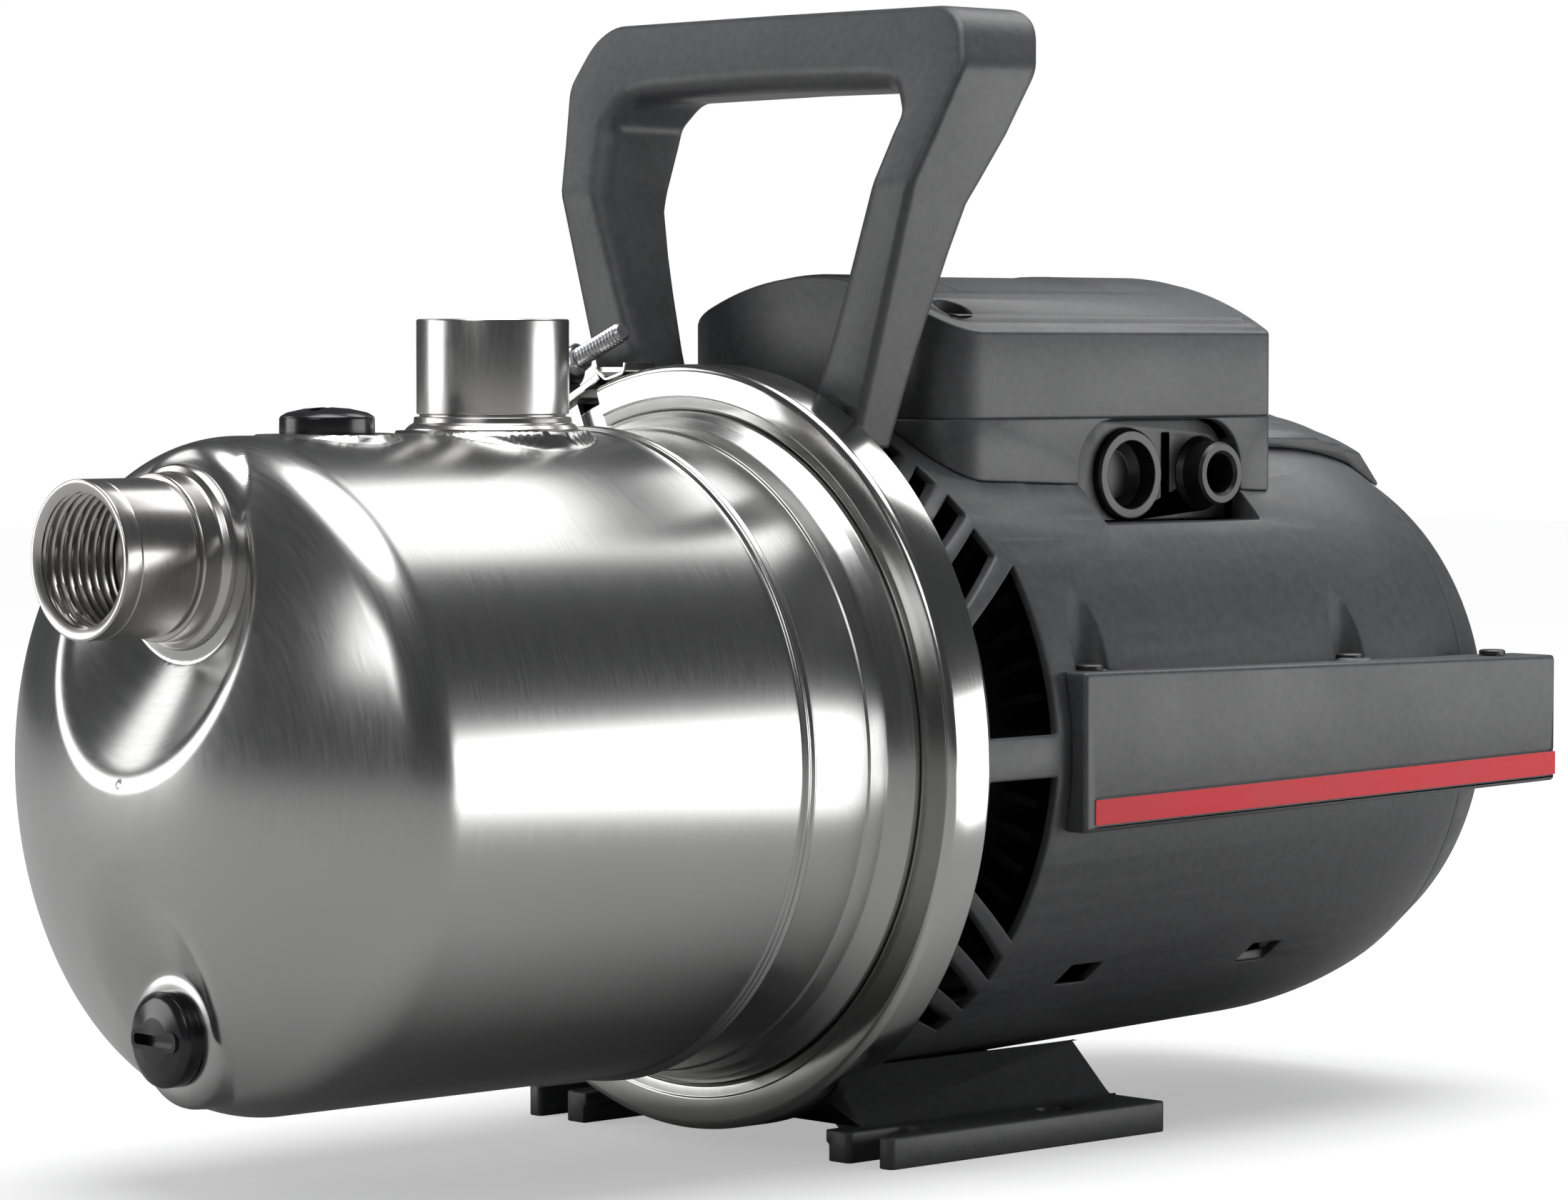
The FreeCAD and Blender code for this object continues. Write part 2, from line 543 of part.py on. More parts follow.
handle_body = padded("HandleBody", "XZ_Plane", [[
    ("handle_front", "160"), ("handle_back", "160"), ("handle_back + 0.6", "172"),
    ("handle_front + 22", "230"), ("handle_front + 44.6", "handle_top"),
    ("handle_front + 15.5", "handle_top"), ("handle_front", "handle_knee_z")]], "160")
handle_plan = padded("HandlePlan", "YZ_Plane", [[
    ("42.4", "165"), ("64.0", "handle_knee_z"), ("69.92", "handle_top - 17.14", "14"),
    ("56.28", "handle_top"), ("0 - 56.28", "handle_top", "14"), ("0 - 69.92", "handle_top - 17.14"),
    ("0 - 64.0", "handle_knee_z"), ("0 - 42.4", "165"), ("0 - 22.0", "165"), ("0 - 48.2", "handle_knee_z"),
    ("0 - 50.73", "247.68", "0 - 8"), ("0 - 42.87", "257.2"), ("42.87", "257.2", "0 - 8"),
    ("50.73", "247.68"), ("48.2", "handle_knee_z"), ("22.0", "165")]], "120", ("handle_front + 20", "0", "0"))
handle_loop = common("HandleLoop", [handle_body, handle_plan])


def inner_front(p, e):
    """Front edges around the hand opening."""
    lean = num("handle_front") + max(0, p.z - num("handle_knee_z")) * 0.3622
    inside = abs(p.y) < (p.z - 165) * 0.3796 + 22.6 if p.z < 240 else abs(p.y) < 52 and p.z < 258
    return abs(p.x - lean) < 0.4 and inside and p.z > 180


def outer_front(p, e):
    """Front edges around the outside of the loop."""
    lean = num("handle_front") + max(0, p.z - num("handle_knee_z")) * 0.3622
    at_knee = abs(p.z - num("handle_knee_z")) < 0.1
    return abs(p.x - lean) < 0.4 and p.z > 180 and not at_knee and not inner_front(p, e)


handle_eased = rounded("HandleEased", handle_loop, "2.2", outer_front)
handle_round = rounded("HandleRound", handle_eased, "4.0", inner_front, "Part::Chamfer")
handle_tools = [rod("HandleHole%d" % i, "2.3", "40",
                    ("-60", "handle_screw_y * %d" % s, "handle_screw_z"), "X")
                for i, s in enumerate((1, -1))]
handle_tools += [rod("HandleSpot%d" % i, "3.9", "20",
                     ("-43.2", "handle_screw_y * %d" % s, "handle_screw_z"), "X")
                 for i, s in enumerate((1, -1))]
handle_tools.append(rod("HandleSeat", "85.3", "60", ("handle_front - 5", "0", "axis_z"), "X"))
cut("handle", handle_round, handle_tools)
fuse("handle_screws", [screw("HandleScrew%d" % i, ("-43.15", "handle_screw_y * %d" % s, "handle_screw_z"),
                             V(-1, 0, 0), "3.35", "2.6", "2.0", "16") for i, s in enumerate((1, -1))])

# ---------------------------------------------------------------- foot

foot_form = padded("FootForm", "YZ_Plane", [[
    ("foot_outer", "0"), ("foot_outer", "foot_t"), ("foot_inner + 4.5", "foot_t"),
    ("foot_inner + 2.5", "foot_t + 1.4"), ("34", "20.3"), ("30", "18.8", "0 - 83.5"),
    ("0 - 30", "18.8"), ("0 - 34", "20.3"), ("0 - foot_inner - 2.5", "foot_t + 1.4"),
    ("0 - foot_inner - 4.5", "foot_t"), ("0 - foot_outer", "foot_t"), ("0 - foot_outer", "0"),
    ("0 - foot_inner", "0"), ("0 - foot_inner", "4"), ("0 - 30", "14.5", "86.5"), ("30", "14.5"),
    ("foot_inner", "4"), ("foot_inner", "0")]], "foot_back - foot_front",
    ("(foot_back + foot_front) / 2", "0", "0"))
foot_tools = [padded("FootTrim", "XZ_Plane", [
    [("foot_front - 1", "foot_t + 0.01"), ("foot_front + 7", "foot_t + 0.01"), ("-53.5", "30"),
     ("foot_front - 1", "30")],
    [("foot_back + 1", "foot_t + 0.01"), ("foot_back - 1.5", "foot_t + 0.01"),
     ("foot_back - 0.5", "20"), ("foot_back + 1", "20")]], "2 * foot_inner + 8")]
foot_tools.append(box("FootMouth", ("foot_front - 1", "0 - foot_inner + 1", "0 - 1"),
                      ("8", "2 * foot_inner - 2", "40")))
foot_tools.append(rod("FootRoom", "shell_front_r + 0.2", "110", ("foot_front - 3", "0", "axis_z"), "X"))
for index, side in enumerate((1, -1)):
    mid = "hole_y * %d" % side
    foot_tools.append(rod("FootHole%d" % index, "hole_r", "20", ("0", mid, "0 - 5")))
    foot_tools.append(rod("SlotEnd%d" % index, "slot_w / 2", "20", ("slot_end", mid, "0 - 5")))
    foot_tools.append(box("SlotWay%d" % index, ("foot_front - 2", mid + " - slot_w / 2", "0 - 5"),
                          ("slot_end - foot_front + 2", "slot_w", "20")))
for index, x in enumerate(("0 - 30", "8")):
    foot_tools.append(rod("FootScrewHole%d" % index, "3.2", "40", (x, "0", "0")))
foot_raw = cut("FootRaw", foot_form, foot_tools)
rounded("foot", foot_raw, "1.6", lambda p, e: abs(e.Length - num("foot_t")) < 0.2
        and abs(p.z - num("foot_t") / 2) < 0.1)
fuse("foot_screws", [screw("FootScrew%d" % i, (x, "0", "9.05"), V(0, 0, 1), "5.0", "3.0", "2.9", "22")
                     for i, x in enumerate(("0 - 30", "8"))])

# ---------------------------------------------------------------- motor shell, cowl and louvre


def box_plan(inset):
    """Plan outline of the terminal box, with rounded front corners."""
    corner = "(box_corner - %s)" % inset
    half = "(box_half - %s)" % inset
    front = "(box_front + %s)" % inset
    back = "(box_back - %s)" % inset
    return [(back, "0 - %s + 2" % half), (back, "%s - 2" % half, "2"), ("%s - 2" % back, half),
            ("%s + %s" % (front, corner), half, corner), (front, "%s - %s" % (half, corner)),
            (front, "0 - %s + %s" % (half, corner), corner),
            ("%s + %s" % (front, corner), "0 - %s" % half), ("%s - 2" % back, "0 - %s" % half, "2")]


def prism(name, inset, low, high):
    return padded(name, "XY_Plane", [box_plan(inset)], "%s - %s" % (high, low),
                  ("0", "box_mid", "(%s + %s) / 2" % (high, low)))


shell_outer = turned("ShellOuter", [
    ("shell_front", "0"), ("shell_end", "0"), ("shell_end", "shell_end_r", "120"),
    ("shell_mid_x", "shell_mid_r"), ("shell_front", "shell_front_r")])
shell_inner = turned("ShellInner", [
    ("shell_front - 1", "0"), ("shell_end + 1", "0"), ("shell_end + 1", "shell_end_r - shell_t - 0.3"),
    ("shell_end", "shell_end_r - shell_t", "117.5"), ("shell_mid_x", "shell_mid_r - shell_t"),
    ("shell_front - 1", "shell_front_r - shell_t")])
pods = [rod("ScoopPod0", "7.9", "38", ("-12.1", "0 - 79.5", "103")),
        rod("ScoopPod1", "7.7", "38", ("85.6", "0 - 77.6", "103"))]
entry_tray = box("EntryTray", ("10.6", "0 - 70", "148.2"), ("63.7", "30", "40"))
shell_hollow = cut("ShellHollow", shell_outer, [cut("ShellCavity", shell_inner, pods + [entry_tray])])

UPPER_VENTS = [
    [(-50.5, 102.6), (-27.0, 102.6), (-28.6, 142.8), (-50.5, 129.0)],
    [(-50.5, 133.4), (-33.5, 144.9), (-35.8, 151.6), (-50.5, 143.2)],
    [(-50.5, 146.8), (-35.5, 154.6), (-37.0, 159.6), (-50.5, 152.6)],
    [(-50.5, 156.0), (-38.0, 162.2), (-38.8, 166.6), (-50.5, 161.0)],
    [(-50.5, 164.0), (-39.5, 168.8), (-40.0, 172.4), (-50.5, 168.0)],
]
LOWER_VENTS = [
    [(-50.5, 92.4), (-26.8, 92.4), (-29.0, 52.3), (-50.5, 66.8)],
    [(-50.5, 62.6), (-29.3, 47.9), (-28.9, 42.0), (-50.5, 54.2)],
    [(-50.5, 50.4), (-29.8, 38.9), (-30.2, 34.4), (-50.5, 43.5)],
    [(-50.5, 39.8), (-31.0, 32.0), (-32.0, 28.9), (-50.5, 35.0)],
]
vents = padded("VentTool", "XZ_Plane", [[(str(x), str(z)) for x, z in shape]
                                        for shape in UPPER_VENTS + LOWER_VENTS], "220")
shell_tools = [
    vents,
    rod("Scoop0", "5.8", "60", ("-12.1", "0 - 79.5", "109.5")),
    rod("Scoop1", "5.6", "60", ("85.6", "0 - 77.6", "109.5")),
    rod("ScoopBore0", "1.95", "8", ("-12.1", "0 - 79.5", "104")),
    rod("ScoopBore1", "1.95", "8", ("85.6", "0 - 77.6", "104")),
    prism("LidOpening", "3.2", "150", "210"),
    box("EntryRoom", ("12.8", "0 - 95", "151.4"), ("59.3", "56", "40")),
    rod("ShellScrew0", "3.4", "40", ("0 - 30", "0", "0 - 5")),
    rod("ShellScrew1", "3.4", "40", ("8", "0", "0 - 5")),
]
for index, x in enumerate(("4.5", "74")):
    for side in (1, -1):
        tag = "%d%s" % (index, "A" if side > 0 else "B")
        shell_tools.append(padded("Latch" + tag, "XZ_Plane", [[
            (x + " - 6.5", "38.6"), (x + " + 5", "38.6"), (x + " + 7", "43.6"), (x + " - 4.5", "43.6")]],
            "12", ("0", "60 * %d" % side, "0")))
motor_shell = cut("motor_shell", shell_hollow, shell_tools)

turned("fan_cowl", [
    ("shell_end + 0.1", "shell_end_r - 2.6"), ("shell_end + 0.1", "shell_end_r - 0.1"),
    ("cowl_end - 7.5", "67.6", "0 - 13"), ("cowl_end", "55.8"), ("cowl_end", "50"),
    ("cowl_end - 2.4", "50"), ("cowl_end - 2.4", "55.8", "10.6"), ("cowl_end - 8.5", "65.4"),
])
grille = [turned("GrilleRing%d" % r, [("cowl_end - 2.4", str(r)), ("cowl_end - 2.4", str(r + 2.2)),
                                      ("cowl_end", str(r + 2.2)), ("cowl_end", str(r))])
          for r in (12, 18, 24, 30, 36, 42)]
hub_disc = rod("GrilleHub", "8", "2.4", ("cowl_end - 2.4", "0", "axis_z"), "X")
spokes = []
for index in range(3):
    spoke = box("GrilleSpoke%d" % index, ("cowl_end - 2.3", "0 - 50.5", "0 - 1.6"), ("2.2", "101", "3.2"))
    spoke.Placement.Rotation = FreeCAD.Rotation(V(1, 0, 0), 30 + 60 * index)
    turn = spoke.Placement.Rotation.multVec(V(0, -50.5, -1.6))
    bind(spoke, ".Placement.Base.y", "0 + %.6f" % turn.y)
    bind(spoke, ".Placement.Base.z", "axis_z + %.6f" % turn.z)
    spokes.append(spoke)
cowl_body = doc.getObject("fan_cowl")
cowl_body.Label = "FanCowlForm"
cowl = fuse("FanCowl", [cowl_body, hub_disc] + grille + spokes)
cowl.Label = "fan_cowl"

louvre_form = turned("LouvreForm", [
    ("92", "shell_mid_r + 0.62"), ("shell_mid_x", "shell_mid_r + 0.25", "0 - 120.25"),
    ("shell_end", "shell_end_r + 0.25"), ("151.5", "67.45"), ("151.5", "68.6"), ("139.5", "77.6"),
    ("132.5", "78.6"), ("130.0", "80.2"), ("122.5", "80.9"), ("120.0", "82.3"), ("92", "82.9")])
louvre_wedge = padded("LouvreWedge", "YZ_Plane", [[("0", "axis_z"), ("46", "axis_z + 92"),
                                                    ("0 - 46", "axis_z + 92")]], "90", ("120", "0", "0"))
common("rear_louvre", [louvre_form, louvre_wedge])

# ---------------------------------------------------------------- side bar

bar_form = padded("BarForm", "XZ_Plane", [[
    ("bar_front", "78.9"), ("bar_back", "82.3"), ("bar_back", "115.0"), ("bar_front", "117.4")]],
    "14.5", ("0", "bar_face + 7.25", "0"))
bar_soft = rounded("BarSoft", bar_form, "1.2", lambda p, e: abs(p.y - num("bar_face")) < 0.01
                   or (abs(p.x - num("bar_front")) < 0.5 and abs(p.z - 98) < 15))
bar_room = turned("BarRoom", [
    ("shell_front", "0"), ("170", "0"), ("170", "60"), ("shell_end + 14.5", "67.9"),
    ("shell_end", "shell_end_r + 0.1", "119.9"), ("shell_mid_x", "shell_mid_r + 0.1"),
    ("shell_front", "shell_front_r + 0.1")])
stripe_room = padded("StripeRoom", "XZ_Plane", [[
    ("bar_front + 3.5", "80.6"), ("bar_back + 1", "83.9"), ("bar_back + 1", "90.0"),
    ("bar_front + 3.5", "86.8")]], "1", ("0", "bar_face - 0.1", "0"))
bar_holes = [rod("BarHole%d" % i, "2.1", "16", (x, y, "104"))
             for i, (x, y) in enumerate((("-12.1", "0 - 79.5"), ("85.6", "0 - 77.6"), ("137.5", "0 - 81.5")))]
bar_ears = [rod("BarEar0", "5.4", "7.3", ("-12.1", "0 - 79.5", "109.8")),
            rod("BarEar1", "5.2", "6.4", ("85.6", "0 - 77.6", "109.8"))]
bar_trimmed = cut("BarTrimmed", bar_soft, [bar_room])
cut("side_bar", fuse("BarWhole", [bar_trimmed] + bar_ears), [stripe_room] + bar_holes)
padded("accent_stripe", "XZ_Plane", [[
    ("bar_front + 3.55", "80.65"), ("bar_back", "83.9"), ("bar_back", "89.9"),
    ("bar_front + 3.55", "86.75")]], "0.38", ("0", "bar_face + 0.2", "0"))
fuse("bar_screws", [screw("BarScrew%d" % i, (x, y, z), V(0, 0, -1), "3.4", "1.3", "1.9", "9")
                    for i, (x, y, z) in enumerate((("-12.1", "0 - 79.5", "117.4"),
                                                   ("85.6", "0 - 77.6", "116.3"),
                                                   ("137.5", "0 - 81.5", "115.5")))])

# ---------------------------------------------------------------- terminal box


POSTS = [("box_front + 11", "box_mid - box_half + 10"), ("box_back - 9", "box_mid + box_half - 10")]
shell_keepout = turned("ShellKeepout", [
    ("shell_front", "0"), ("shell_mid_x", "0"), ("shell_mid_x", "shell_mid_r + 0.15"),
    ("shell_front", "shell_front_r + 0.15")])
keepout = cut("Keepout", shell_keepout, [prism("KeepoutOpening", "3.4", "150", "210")])
entry_tool = padded("EntryTool", "XZ_Plane", [[
    ("12.8", "140"), ("72.1", "140"), ("72.1", "164.8", "12.3"), ("59.8", "177.1"),
    ("25.1", "177.1", "12.3"), ("12.8", "164.8")]], "36", ("0", "box_mid - box_half", "0"))
base_walls = cut("BaseWalls", prism("BaseOuter", "0", "155", "box_split"),
                 [prism("BaseInner", "box_wall", "172", "box_split + 5"),
                  prism("BaseUnder", "box_wall", "150", "170")])
base_posts = [rod("BasePost%d" % i, "4.6", "box_split - 171", (x, y, "171"))
              for i, (x, y) in enumerate(POSTS)]
post_holes = [rod("BasePostHole%d" % i, "1.75", "12", (x, y, "173")) for i, (x, y) in enumerate(POSTS)]
cable_way = box("CableWay", ("24", "0 - 20", "160"), ("20", "16", "20"))
cut("terminal_base", fuse("BaseWhole", [base_walls] + base_posts),
    [keepout, entry_tool, cable_way] + post_holes)

bow_rim = rod("BowRim", "lid_bow_r", "box_back - box_front + 20",
              ("box_front - 10", "box_mid", "lid_top - lid_bow_r"), "X")
bow_panel = rod("BowPanel", "lid_bow_r + 0.7", "box_back - box_front + 20",
                ("box_front - 10", "box_mid", "lid_top - lid_bow_r"), "X")
bow_under = rod("BowUnder", "lid_bow_r - box_wall", "box_back - box_front + 20",
                ("box_front - 10", "box_mid", "lid_top - lid_bow_r"), "X")
lid_outer = fuse("LidOuter", [common("LidRim", [prism("LidPrism", "0", "box_split + 0.25", "220"), bow_rim]),
                              common("LidPanel", [prism("LidInset", "4.5", "190", "220"), bow_panel])])
lid_room = common("LidRoom", [prism("LidInner", "box_wall", "box_split - 5", "220"), bow_under])
lid_posts = [rod("LidPost%d" % i, "6.4", "60", (x, y, "box_split + 0.25")) for i, (x, y) in enumerate(POSTS)]
lid_hollow = cut("LidHollow", lid_outer, [cut("LidVoid", lid_room, lid_posts)])
lid_wells = [rod("LidWell%d" % i, "4.7", "40", (x, y, "190")) for i, (x, y) in enumerate(POSTS)]
lid_bores = [rod("LidBore%d" % i, "2.1", "40", (x, y, "170")) for i, (x, y) in enumerate(POSTS)]
label_tool = cut("LabelTool", box("LabelBox", ("box_front + 24", "box_mid - 28", "200"), ("56", "56", "30")),
                 [rod("LabelFloor", "lid_bow_r + 0.3", "box_back - box_front + 20",
                      ("box_front - 10", "box_mid", "lid_top - lid_bow_r"), "X")])
cut("terminal_lid", lid_hollow, lid_wells + lid_bores + [label_tool, shell_keepout])
fuse("lid_screws", [screw("LidScrew%d" % i, (x, y, "190.1"), V(0, 0, -1), "3.6", "2.2", "1.6", "16.5")
                    for i, (x, y) in enumerate(POSTS)])

padded("entry_panel", "XZ_Plane", [
    [("13.1", "151.6"), ("71.8", "151.6"), ("71.8", "164.9", "12"), ("59.8", "176.9"),
     ("25.1", "176.9", "12"), ("13.1", "164.9")],
    ("spare_x", "entry_z", "11.55"), ("entry_x", "entry_z", "9.3"),
    [("48.0", "155.5"), ("50.6", "155.5"), ("50.6", "173.5"), ("48.0", "173.5")]],
    "6", ("0", "0 - 44.5", "0"))
turned("spare_gland", [
    ("8.6", "0 - 49.6"), ("10.9", "0 - 49.6"), ("11.45", "0 - 49.0"), ("11.45", "0 - 40.4"),
    ("0", "0 - 40.4"), ("0", "0 - 42.6"), ("6.2", "0 - 42.6"), ("8.6", "0 - 44.4")],
    ("spare_x", "0", "entry_z"), "Z_Axis", turn=FreeCAD.Rotation(V(1, 0, 0), -90))
turned("cable_grommet", [
    ("entry_r", "0 - 54.2"), ("entry_r + 0.8", "0 - 55"), ("7.4", "0 - 55"), ("8.0", "0 - 54.2"),
    ("8.2", "0 - 49.0"), ("9.2", "0 - 47.6"), ("9.2", "0 - 40.4"), ("entry_r", "0 - 40.4")],
    ("entry_x", "0", "entry_z"), "Z_Axis", turn=FreeCAD.Rotation(V(1, 0, 0), -90))

fuse("terminal_block", [
    box("BlockBase", ("box_front + 22", "0 - 26", "172"), ("12", "44", "9")),
    box("BlockRow0", ("box_front + 24", "0 - 25", "180.5"), ("8", "12", "5")),
    box("BlockRow1", ("box_front + 24", "0 - 10", "180.5"), ("8", "12", "5")),
    box("BlockRow2", ("box_front + 24", "5", "180.5"), ("8", "12", "5"))])
turned("capacitor", [("0 - 30", "0"), ("0 - 30", "13.6"), ("0 - 28.6", "15"), ("28", "15"), ("30", "13"),
                     ("30", "5"), ("33", "5"), ("33", "0")], ("34", "18", "188.2"))
fuse("capacitor_clips", [
    turned("Clip%d" % i, [("0 - 3", "15.05"), ("3", "15.05"), ("3", "16.1"), ("0 - 3", "16.1")],
           (x, "18", "188.2")) for i, x in enumerate(("16", "52"))])

# ---------------------------------------------------------------- motor: frame, stator, end shield

frame_tube = turned("FrameTube", [("-33.9", "stator_r + 0.02"), ("95.9", "stator_r + 0.02"),
                                  ("95.9", "frame_r"), ("-33.9", "frame_r")])
fin = box("FinBlank", ("-19.6", "0 - 0.9", "axis_z + frame_r - 1"), ("111", "1.8", "fin_r - frame_r + 1"))
fins = spread("Fins", fin, "fin_count")
foot_boss = box("FootBoss", ("-33.5", "0 - 11", "19.5"), ("50", "22", "22"))
frame_fins = fuse("FrameFins", [frame_tube, fins])
frame_room = rod("FrameRoom", "stator_r + 0.02", "140", ("-38", "0", "axis_z"), "X")
entry_clearance = box("EntryClearance", ("9.6", "0 - 78", "147.2"), ("65.8", "39.6", "40"))
cut("motor_frame", fuse("FrameWhole", [frame_fins, foot_boss]), [
    frame_room, entry_clearance, rod("FrameScrew0", "2.95", "14", ("0 - 30", "0", "18")),
    rod("FrameScrew1", "2.95", "14", ("8", "0", "18"))])
turned("stator_core", [("core_front", "bore_r"), ("core_back", "bore_r"), ("core_back", "stator_r"),
                       ("core_front", "stator_r")])
winding_corners = [("0", "31"), ("14", "34"), ("17", "38"), ("17", "44"), ("13", "48"), ("0", "49")]
fuse("windings", [
    turned("WindingFan", winding_corners, ("core_back + 0.1", "0", "axis_z")),
    turned("WindingPump", winding_corners, ("core_front - 0.1", "0", "axis_z"),
           turn=FreeCAD.Rotation(V(0, 0, 1), 180))])
shield_form = turned("ShieldForm", [
    ("96", "24"), ("96", "66"), ("101", "66"), ("106", "24"), ("106", "10"),
    ("bearing_back + bearing_w", "10"), ("bearing_back + bearing_w", "bearing_r + 0.02"),
    ("bearing_back - 0.5", "bearing_r + 0.02"), ("bearing_back - 0.5", "24")])
shield_ears = [rod("ShieldEar%d" % i, "5", "5", ("96", "tie_r * %.6f - 0.0" % y,
                                                  "axis_z + tie_r * %.6f" % z), "X")
               for i, (y, z) in enumerate(tie_spots)]
shield_arms = []
for index, (y, z) in enumerate(tie_spots):
    arm = box("ShieldArm%d" % index, ("96", "0", "0"), ("5", "8", "16"))
    arm.Placement.Rotation = FreeCAD.Rotation(V(1, 0, 0), math.degrees(math.atan2(z, y)) - 90)
    foot_of_arm = arm.Placement.Rotation.multVec(V(0, -4, 58))
    bind(arm, ".Placement.Base.y", "0 + %.6f" % foot_of_arm.y)
    bind(arm, ".Placement.Base.z", "axis_z + %.6f" % foot_of_arm.z)
    shield_arms.append(arm)
shield_holes = [rod("ShieldHole%d" % i, "2.6", "20",
                    ("90", "tie_r * %.6f" % y, "axis_z + tie_r * %.6f" % z), "X")
                for i, (y, z) in enumerate(tie_spots)]
shield_trim = cut("ShieldTrim", rod("TrimBig", "90", "20", ("90", "0", "axis_z"), "X"),
                  [rod("TrimSmall", "76.8", "20", ("90", "0", "axis_z"), "X")])
cut("end_shield", fuse("ShieldWhole", [shield_form] + shield_ears + shield_arms),
    shield_holes + [shield_trim])
fuse("tie_rods", [screw("TieRod%d" % i, ("101.1", "tie_r * %.6f" % y, "axis_z + tie_r * %.6f" % z),
                        V(-1, 0, 0), "2.9", "2.4", "2.35", "162") for i, (y, z) in enumerate(tie_spots)])

# ---------------------------------------------------------------- bearings

starts = ("bearing_front", "bearing_back")
outer_rings = []
inner_rings = []
balls = []
for index, start in enumerate(starts):
    middle = "%s + bearing_w / 2" % start
    track = torus("Track%d" % index, "pitch_r", "race_r", (middle, "0", "axis_z"))
    outer_rings.append(cut("OuterRing%d" % index, turned("OuterBlank%d" % index, [
        (start, "14.3"), ("%s + bearing_w" % start, "14.3"), ("%s + bearing_w" % start, "bearing_r"),
        (start, "bearing_r")]), [track]))
    track_in = torus("TrackIn%d" % index, "pitch_r", "race_r", (middle, "0", "axis_z"))
    inner_rings.append(cut("InnerRing%d" % index, turned("InnerBlank%d" % index, [
        (start, "bearing_bore"), ("%s + bearing_w" % start, "bearing_bore"),
        ("%s + bearing_w" % start, "10.7"), (start, "10.7")]), [track_in]))
    ball = add("Part::Sphere", "Ball%d" % index)
    bind(ball, "Radius", "ball_r")
    move(ball, (middle, "0", "axis_z + pitch_r"))
    balls.append(spread("Balls%d" % index, ball, "ball_count"))
fuse("bearing_outer_rings", outer_rings)
fuse("bearing_inner_rings", inner_rings)
group = add("Part::Compound", "bearing_balls")
group.Links = balls

# ---------------------------------------------------------------- rotor line

turned("shaft", [
    ("-106", "0"), ("-106", "4.4"), ("-105.4", "5"), ("-98.2", "5"), ("-98.2", "6"), ("-57.0", "6"),
    ("-57.0", "shaft_r"), ("-43.8", "shaft_r"), ("-43.8", "9"), ("core_front - 2", "9"),
    ("core_front - 2", "10"), ("core_back + 2", "10"), ("core_back + 2", "9"),
    ("bearing_back - 1", "9"), ("bearing_back - 1", "shaft_r"), ("108", "shaft_r"), ("108", "6.5"),
    ("133.2", "6.5"), ("134", "5.7"), ("134", "0")])
turned("rotor_core", [
    ("core_front", "10.02"), ("core_back", "10.02"), ("core_back", "20"), ("core_back + 5", "22"),
    ("core_back + 5", "26"), ("core_back", "rotor_r"), ("core_front", "rotor_r"),
    ("core_front - 5", "26"), ("core_front - 5", "22"), ("core_front", "20")])

wheel = turned("ImpellerWheel", [
    ("-98.0", "6.02"), ("-84.2", "6.02"), ("-84.2", "impeller_r"), ("-86.2", "impeller_r"),
    ("-86.2", "14"), ("-92", "10"), ("-98.0", "10")])
shroud = turned("ImpellerShroud", [
    ("-99.4", "17"), ("-99.4", "19"), ("-96.0", "19"), ("-96.0", "impeller_r"),
    ("-94.4", "impeller_r"), ("-94.4", "17")])
vane = padded("VaneBlank", "YZ_Plane", [[
    ("17.6", "4"), ("32", "12.5", "70"), ("47.8", "27"), ("46.6", "28.2", "0 - 68"), ("31", "14"),
    ("17.0", "5.6")]], "8.6", ("-90.3", "0", "axis_z"))
fuse("impeller", [wheel, shroud, spread("Vanes", vane, "vane_count")])
padded("impeller_nut", "YZ_Plane", [
    [("9 * cos(%d)" % a, "9 * sin(%d)" % a) for a in (0, 60, 120, 180, 240, 300)],
    ("0", "0", "5.05")], "5.6", ("-101.1", "0", "axis_z"))
turned("seal_rotating", [
    ("-77.0", "6.1"), ("-70.75", "6.1"), ("-70.75", "11"), ("-72.5", "13.4"), ("-76.0", "13.4"),
    ("-77.0", "12")])
turned("seal_stationary", [
    ("-70.6", "8.4"), ("-70.6", "12.4"), ("-69.0", "16.9"), ("-65.6", "16.9"), ("-65.6", "8.4")])
outer_folds = [("%.2f" % (-83.6 + 0.64 * i), "10.9" if i % 2 else "9.3") for i in range(11)]
inner_folds = [("%.2f" % (-83.6 + 0.64 * i), "10.0" if i % 2 else "8.4") for i in range(10, -1, -1)]
turned("seal_spring", outer_folds + inner_folds)

fan_hub = turned("FanHub", [
    ("112", "6.52"), ("131", "6.52"), ("131", "11"), ("118", "14"), ("114", "fan_r * 0.55"),
    ("112", "fan_r * 0.55")])
blade = box("BladeBlank", ("113", "0 - 0.9", "axis_z + 15"), ("15", "1.8", "fan_r - 15"))
fuse("fan", [fan_hub, spread("Blades", blade, "blade_count")])

# ---------------------------------------------------------------- hydraulics inside the sleeve

